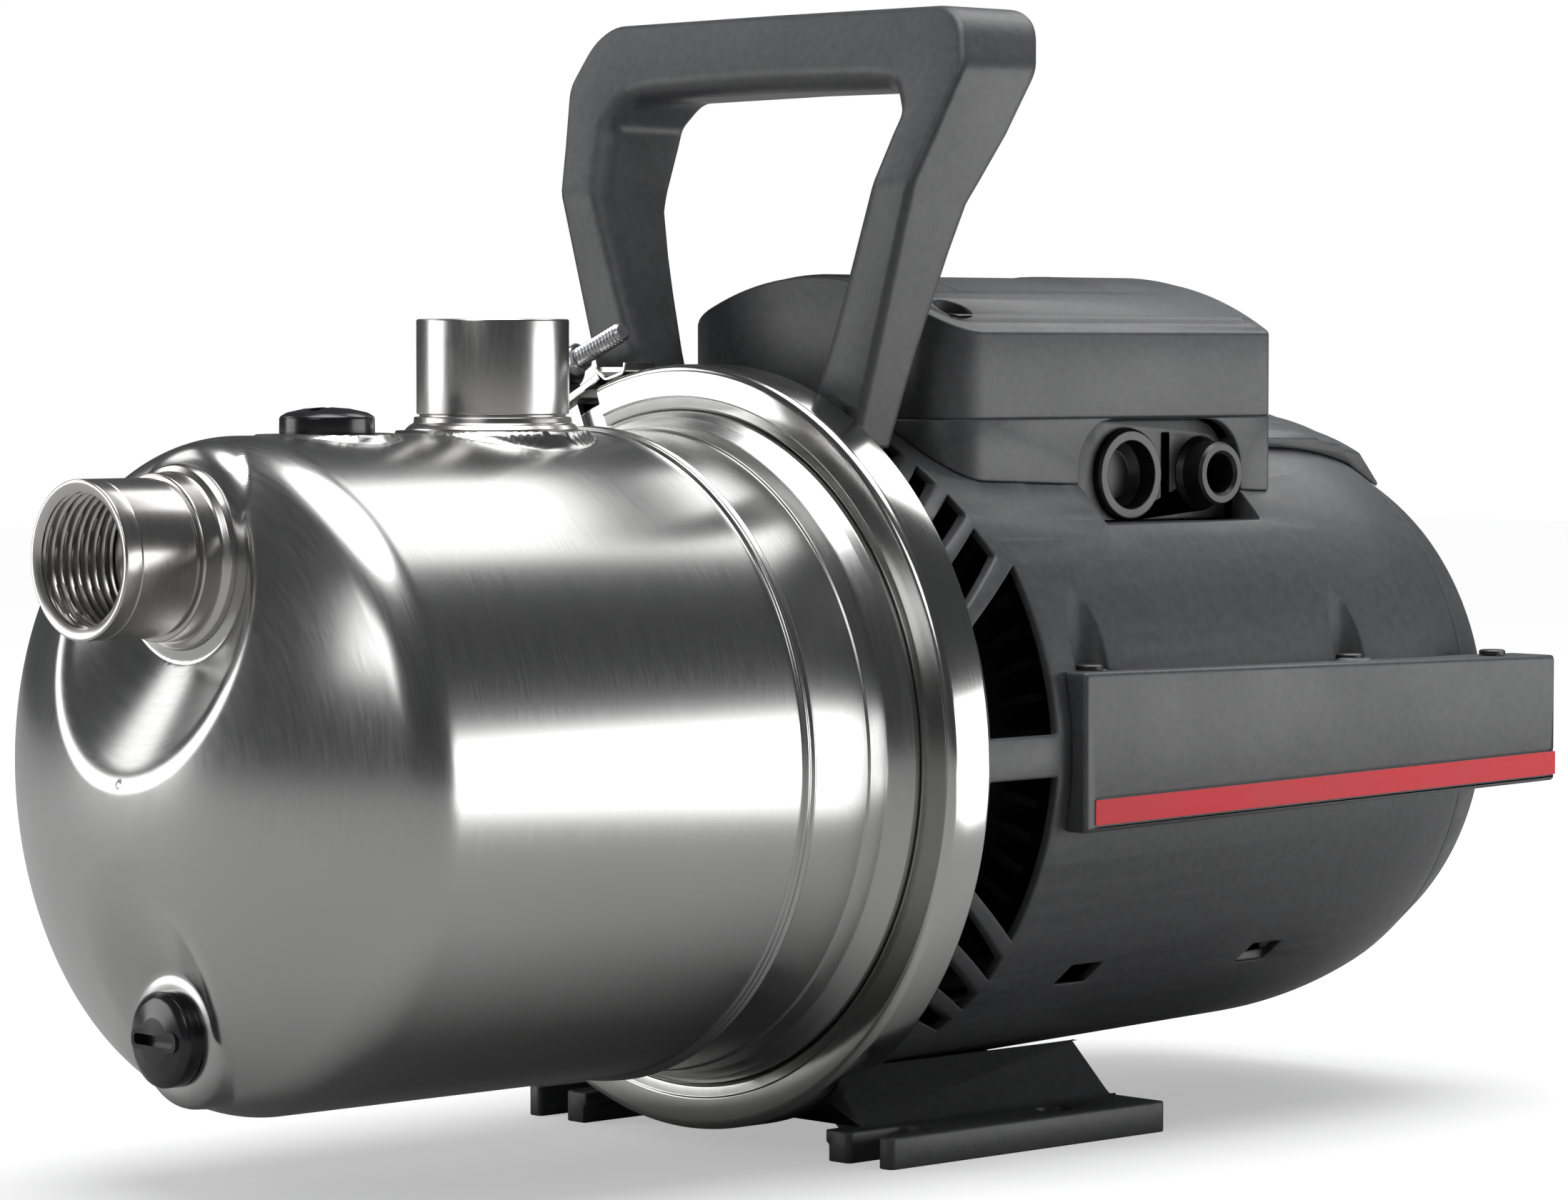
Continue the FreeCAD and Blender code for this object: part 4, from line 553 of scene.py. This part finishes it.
CLAMP_ANGLE = 68.0
CLAMP_R = 104.8
RING_MID = -66.25
RING_GAP = 5.0
RING_R = 93.4
STRIP_EASE = 0.3
STUD_PITCH = 1.25
STUD_ROOT = 1.98
STUD_TOOTH = 0.52
NUT_MID = 7.3
NUT_HALF_FLAT = 3.5
BARREL_AT = 14.2

ring_profile = soften([
    (-59.7, 84.8, 0.4), (-59.7, RING_R, 1.2), (-72.9, RING_R, 2.2), (-72.9, 85.75, 0.35),
    (-72.45, 85.35, 0.25), (-72.3, 82.7, 0.5), (-71.25, 82.7, 0.3), (-71.25, 91.7, 0.8),
    (-61.3, 91.7, 0.8), (-61.3, 84.8, 0.4)], steps=6)
turned("ClampRing", ring_profile, (0, 0, AXIS_Z), "x", "ring_steel", "housing", ("clamp_ring",),
       segments=300, start=CLAMP_ANGLE + RING_GAP / 2, sweep=360 - RING_GAP)

def at_clamp(x, t, h):
    """Point given along the shaft, along the clamp bolt and away from the shaft."""
    a = math.radians(CLAMP_ANGLE - 90)
    return (x, t * math.cos(a) - h * math.sin(a), AXIS_Z + t * math.sin(a) + h * math.cos(a))


def on_band(t, above):
    """Height from the shaft of a point a little above the ring's outside."""
    return math.sqrt((RING_R + above) ** 2 - t * t)


def thickened(path, thick, steps=6):
    """Closed outline of a bent strip from its middle line."""
    line = np.array(soften(path, False, steps))
    way = np.gradient(line, axis=0)
    way /= np.hypot(way[:, 0], way[:, 1])[:, None]
    side = np.stack([-way[:, 1], way[:, 0]], 1) * thick / 2
    return [tuple(p) for p in line + side] + [tuple(p) for p in (line - side)[::-1]]


def clamp_strip(name, path, thick, half_width, nodes=()):
    """Bent sheet strip of the clamp with rounded long edges."""
    outline = thickened(path, thick)
    n = len(outline)
    half = n // 2
    verts = []
    for x, shrink in ((-half_width, STRIP_EASE), (-half_width + STRIP_EASE, 0.0),
                      (half_width - STRIP_EASE, 0.0), (half_width, STRIP_EASE)):
        for k, (t, h) in enumerate(outline):
            other = outline[n - 1 - k]
            share = shrink / thick
            verts.append(at_clamp(RING_MID + x, t + (other[0] - t) * share, h + (other[1] - h) * share))
    faces = grid_faces(4, n, False, True)
    for row in (0, 3):
        faces += [(row * n + k, row * n + k + 1, row * n + n - 2 - k, row * n + n - 1 - k)
                  for k in range(half - 1)]
    return piece(name, verts, faces, "ring_steel", "housing", nodes, 35)


def clamp_round(profile, segments, slot, name, nodes=(), radius_of=None):
    """Outline (t, r) turned about the clamp bolt; radius_of gives r where the outline has none (-1)."""
    verts = []
    for k in range(segments):
        a = 2 * math.pi * k / segments
        for t, r in profile:
            size = radius_of(t, a) if radius_of and r < 0 else r
            verts.append(at_clamp(RING_MID + size * math.cos(a), t, CLAMP_R + size * math.sin(a)))
    return piece(name, verts, grid_faces(segments, len(profile), True, True), slot, "housing", nodes, 40)


def stud_thread(t, a):
    """Rolled thread of the clamp bolt, rounded at crest and root."""
    phase = (t / STUD_PITCH - a / (2 * math.pi)) % 1.0
    tooth = 1 - abs(2 * phase - 1)
    return STUD_ROOT + STUD_TOOTH * min(1.0, max(0.0, tooth * 1.5 - 0.25))


def make_clamp_bolt():
    rows = [(t, -1.0) for t in np.arange(-10.9, 18.6, 0.125)]
    profile = [(-11.5, 0.001), (-11.5, 1.75), (-11.1, 2.1)] + rows + [(18.8, 2.5), (19.2, 2.5)]
    profile += soften([(19.2, 2.5), (19.2, 4.3, 0.5), (21.6, 4.3, 1.0), (22.2, 0.001)], False, 5)
    clamp_round(profile, 48, "zinc_screw", "ClampBolt", ("clamp_bolt",), stud_thread)


def hex_radius(t, a):
    """Six flats of the nut, with its corners turned away at both faces."""
    flat = NUT_HALF_FLAT / math.cos((a + math.pi / 6) % (math.pi / 3) - math.pi / 6)
    return min(flat, 4.05 - max(0.0, abs(t - NUT_MID) - 1.35) * 1.1)


def make_clamp_lugs():
    saddle = [(-14.4, on_band(-14.4, 3.0)), (-13.2, on_band(-13.2, 0.9), 1.4), (-9.5, on_band(-9.5, 0.75), 9),
              (-6.2, on_band(-6.2, 0.9), 2.2), (-4.6, on_band(-4.6, 3.0), 1.6), (-3.7, on_band(-3.7, 4.6))]
    clamp_strip("ClampSaddle", saddle, 1.1, 5.0)
    strap = [(-3.4, on_band(-3.4, 3.0)), (-1.5, on_band(-1.5, 2.5), 2)]
    strap += [(t, on_band(t, 2.2), 8) for t in (2, 6, 10, 14, 18, 21)] + [(23.6, on_band(23.6, 1.3))]
    far = clamp_strip("ClampStrap", strap, 1.9, 4.4)
    web = clamp_strip("ClampWeb", [(13.0, on_band(13, 2.4)), (13.6, 98.2, 1.5), (14.2, 101.6)], 2.2, 4.6)
    barrel = turned("ClampLugs", soften([(-5, 0.001), (-5, 4.6, 0.7), (5, 4.6, 0.7), (5, 0.001)], False, 4),
                    at_clamp(RING_MID, BARREL_AT, CLAMP_R), "x", "ring_steel", "housing", ("clamp_lugs",), 64)
    carve(barrel, [far, web], "UNION")
    hole = [at_clamp(RING_MID + 2.6 * math.cos(a), t, CLAMP_R + 2.6 * math.sin(a))
            for t in (9.0, 19.4) for a in np.linspace(0, 2 * math.pi, 48, endpoint=False)]
    ring = [(k, (k + 1) % 48, 48 + (k + 1) % 48, 48 + k) for k in range(48)]
    carve(barrel, [cutter(hole, ring + [tuple(reversed(range(48))), tuple(range(48, 96))])])


make_clamp_bolt()
clamp_round([(5.3, 2.45), (5.3, -1.0), (5.7, -1.0), (6.3, -1.0), (8.3, -1.0), (8.9, -1.0), (9.3, -1.0),
             (9.3, 2.45)], 72, "zinc_screw", "ClampNut", ("clamp_nut",), hex_radius)
make_clamp_lugs()

# ---------------------------------------------------------------- moulded parts

def eased(node, name, width):
    """Copy of a CAD node with its flat faces merged and its edges rounded off, within its own box."""
    mesh = frame["nodes"][node].data.copy()
    form = bmesh.new()
    form.from_mesh(mesh)
    bmesh.ops.remove_doubles(form, verts=form.verts, dist=2e-6)
    bmesh.ops.dissolve_limit(form, angle_limit=math.radians(1.0), verts=form.verts, edges=form.edges)
    form.to_mesh(mesh)
    form.free()
    slot = SLOTS[node]
    made = bpy.data.objects.new(name, mesh)
    scene.collection.objects.link(made)
    low = [min(v.co[i] for v in mesh.vertices) for i in range(3)]
    high = [max(v.co[i] for v in mesh.vertices) for i in range(3)]
    soft = made.modifiers.new("Ease", "BEVEL")
    soft.width = width * MM
    soft.segments = 2
    soft.limit_method = "ANGLE"
    soft.angle_limit = math.radians(35)
    soft.miter_outer = "MITER_ARC"
    soft.use_clamp_overlap = False
    bake(made)
    for vertex in made.data.vertices:
        for i in range(3):
            vertex.co[i] = min(max(vertex.co[i], low[i]), high[i])
    made.data.shade_smooth()
    made.data.set_sharp_from_angle(angle=math.radians(40))
    made.data.materials.clear()
    made.data.materials.append(MATERIALS[slot])
    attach(made, BODY_OF[node])
    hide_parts(node)


EASED = (("foot", "Foot", 0.35), ("terminal_lid", "TerminalLid", 0.5),
         ("terminal_base", "TerminalBase", 0.35), ("entry_panel", "EntryPanel", 0.3),
         ("motor_shell", "MotorShell", 0.45), ("side_bar", "SideBar", 0.7),
         ("rear_louvre", "RearLouvre", 0.4), ("fan_cowl", "FanCowl", 0.4))
for easing in EASED:
    eased(*easing)

# ---------------------------------------------------------------- handle

KNEE_Z = 234.0
FRONT_X = -56.9


def handle_front(z):
    return FRONT_X + 0.36 * max(0.0, z - KNEE_Z)


BACK_LINE = [(165, -43.4), (171, -43.0), (194, -41.0), (218, -37.3), (229.5, -34.9), (246, -26.1),
             (260.7, -19.9), (277.5, -11.8)]


def handle_back(z):
    heights = [p[0] for p in BACK_LINE]
    return float(np.interp(z, heights, [p[1] for p in BACK_LINE]))


def handle_rail(corners):
    """Points of a rounded half outline (y, z) from the leg end to the middle, and the run to each."""
    line = np.array(soften(corners, False, 10))
    run = np.concatenate([[0], np.cumsum(np.hypot(*np.diff(line, axis=0).T))])
    return line, run


HANDLE_SCREW_Y = 37.5
HANDLE_SCREW_Z = 178
HANDLE_SEAT_R = 85.3


def make_handle():
    outer, outer_run = handle_rail([(42.5, 166), (52.0, 196.2), (63.6, 234.0, 3), (71.0, 261.5, 7),
                                    (64.5, 276.6, 12), (0, 276.8)])
    inner, inner_run = handle_rail([(21.5, 166), (38.5, 209), (47.6, 234.0, 4), (51.2, 250.5, 3.5),
                                    (46.5, 257.0, 6.5), (0, 257.4)])
    # Stations pair an outer with an inner point: the leg by height, then the corner, then the grip.
    stations = []
    for z in np.linspace(166, 246, 44):
        stations.append(((float(np.interp(z, outer[:, 1], outer[:, 0])), z),
                         (float(np.interp(z, inner[:, 1], inner[:, 0])), z)))
    start_o = float(np.interp(246, outer[:, 1], outer_run))
    start_i = float(np.interp(246, inner[:, 1], inner_run))
    top_o = outer_run[-1] - 46.0
    top_i = inner_run[-1] - 38.0
    for t in np.linspace(0, 1, 30)[1:]:
        so, si = start_o + (top_o - start_o) * t, start_i + (top_i - start_i) * t
        stations.append((tuple(float(np.interp(so, outer_run, outer[:, k])) for k in (0, 1)),
                         tuple(float(np.interp(si, inner_run, inner[:, k])) for k in (0, 1))))
    for t in np.linspace(0, 1, 12)[1:]:
        so, si = top_o + 46.0 * t, top_i + 38.0 * t
        stations.append((tuple(float(np.interp(so, outer_run, outer[:, k])) for k in (0, 1)),
                         tuple(float(np.interp(si, inner_run, inner[:, k])) for k in (0, 1))))
    stations += [(((-o[0]), o[1]), ((-i[0]), i[1])) for o, i in reversed(stations[:-1])]
    verts = []
    for (oy, oz), (iy, iz) in stations:
        thick = math.hypot(oy - iy, oz - iz)
        corners = [(0, handle_front(oz), 2.2), (thick, handle_front(iz), 5.2),
                   (thick, handle_back(iz), 3.0), (0, handle_back(oz), 3.5)]
        for t, x in soften(corners, True, 6):
            share = t / thick
            verts.append((x, oy + (iy - oy) * share, oz + (iz - oz) * share))
    columns = len(verts) // len(stations)
    faces = grid_faces(len(stations), columns, False, True)
    faces.append(tuple(range(columns)))
    faces.append(tuple((len(stations) - 1) * columns + k for k in reversed(range(columns))))
    handle = piece("Handle", verts, faces, "charcoal_plastic", "housing", ("handle",), 50)
    tools = [round_cutter((-75, 0, AXIS_Z), "x", HANDLE_SEAT_R, 60, 256)]
    for side in (1, -1):
        tools.append(round_cutter((-60, HANDLE_SCREW_Y * side, HANDLE_SCREW_Z), "x", 2.3, 40, 32))
        tools.append(round_cutter((-43.2, HANDLE_SCREW_Y * side, HANDLE_SCREW_Z), "x", 3.9, 10, 32))
    return carve(handle, tools)


make_handle()


# ---------------------------------------------------------------- camera, light and floor

CAMERA_AT = Vector((-970.75, -987.32, 193.8)) * MM
CAMERA_TURN = -43.367
CAMERA_DIP = -2.588
CAMERA_LENS = 125.83

camera_data = bpy.data.cameras.new("Camera")
camera_data.lens = CAMERA_LENS
camera_data.sensor_width = 36.0
camera_data.clip_start = 0.05
camera = bpy.data.objects.new("Camera", camera_data)
camera.location = CAMERA_AT
camera.rotation_euler = (math.radians(90 + CAMERA_DIP), 0, math.radians(CAMERA_TURN))
scene.collection.objects.link(camera)
scene.camera = camera


def area_light(name, spot, target, size, watts, tint=(1, 1, 1)):
    data = bpy.data.lights.new(name, "AREA")
    data.shape = "RECTANGLE"
    data.size, data.size_y = size
    data.energy = watts
    data.color = tint
    lamp = bpy.data.objects.new(name, data)
    lamp.location = spot
    lamp.rotation_euler = (Vector(target) - Vector(spot)).to_track_quat("-Z", "Y").to_euler()
    lamp.visible_camera = False
    scene.collection.objects.link(lamp)


area_light("OverheadBox", (1.0, 0.15, 1.25), (-0.05, 0, 0.12), (0.9, 0.75), 6.6)
area_light("SideBox", (1.1, -1.25, 0.22), (-0.05, 0, 0.12), (1.3, 0.42), 6.9)
area_light("LowCard", (0.62, -0.72, 0.004), (0.62, -0.72, 1.0), (1.0, 0.9), 8)
area_light("BackCard", (-1.0, 0.9, 0.3), (-0.2, 0, 0.12), (0.7, 0.5), 4)
area_light("ScoopCard", (-0.45, 0.95, 0.80), (-0.22, 0, 0.12), (0.5, 0.4), 1.6)
area_light("FrontFill", (-1.5, -0.5, 0.9), (-0.15, 0, 0.12), (0.7, 0.5), 3.5)
sky_data = bpy.data.lights.new("SkyDome", "SUN")
sky_data.energy = 3.4
sky_data.angle = math.radians(50)
scene.collection.objects.link(bpy.data.objects.new("SkyDome", sky_data))

world = bpy.data.worlds.new("Studio")
world.use_nodes = True
sky = world.node_tree
backdrop = sky.nodes["Background"]
backdrop.inputs["Color"].default_value = (1.0, 1.0, 1.0, 1)
backdrop.inputs["Strength"].default_value = 1.0
studio = sky.nodes.new("ShaderNodeBackground")
studio.inputs["Color"].default_value = (0.95, 0.97, 1.0, 1)
studio.inputs["Strength"].default_value = 0.07
path = sky.nodes.new("ShaderNodeLightPath")
choose = sky.nodes.new("ShaderNodeMixShader")
sky.links.new(path.outputs["Is Camera Ray"], choose.inputs["Fac"])
sky.links.new(studio.outputs["Background"], choose.inputs[1])
sky.links.new(backdrop.outputs["Background"], choose.inputs[2])
sky.links.new(choose.outputs["Shader"], sky.nodes["World Output"].inputs["Surface"])
scene.world = world
scene.view_settings.view_transform = "Standard"

floor_mesh = bpy.data.meshes.new("Floor")
floor_mesh.from_pydata([(-4, -4, 0), (4, -4, 0), (4, 4, 0), (-4, 4, 0)], [], [(0, 1, 2, 3)])
floor = bpy.data.objects.new("Floor", floor_mesh)
floor_shader = Shader("FloorPaper", (0.80, 0.80, 0.80), 0.0, 0.8, Specular_IOR_Level=0.1)
floor_view = floor_shader.node("ShaderNodeLightPath")
floor_tone = floor_shader.node("ShaderNodeMix", data_type="RGBA")
floor_tone.inputs["A"].default_value = (0.36, 0.36, 0.36, 1)
floor_tone.inputs["B"].default_value = (0.50, 0.50, 0.50, 1)
floor_glow = floor_shader.node("ShaderNodeMath", operation="MULTIPLY")
floor_glow.inputs[1].default_value = 0.42
floor_shader.link(floor_view.outputs["Is Camera Ray"], floor_glow.inputs[0])
floor_shader.link(floor_glow.outputs["Value"], floor_shader.bsdf.inputs["Emission Strength"])
floor_shader.bsdf.inputs["Emission Color"].default_value = (1, 1, 1, 1)
floor_shader.link(floor_view.outputs["Is Camera Ray"], floor_tone.inputs["Factor"])
floor_shader.link(floor_tone.outputs["Result"], floor_shader.bsdf.inputs["Base Color"])
floor_mesh.materials.append(floor_shader.material)
scene.collection.objects.link(floor)
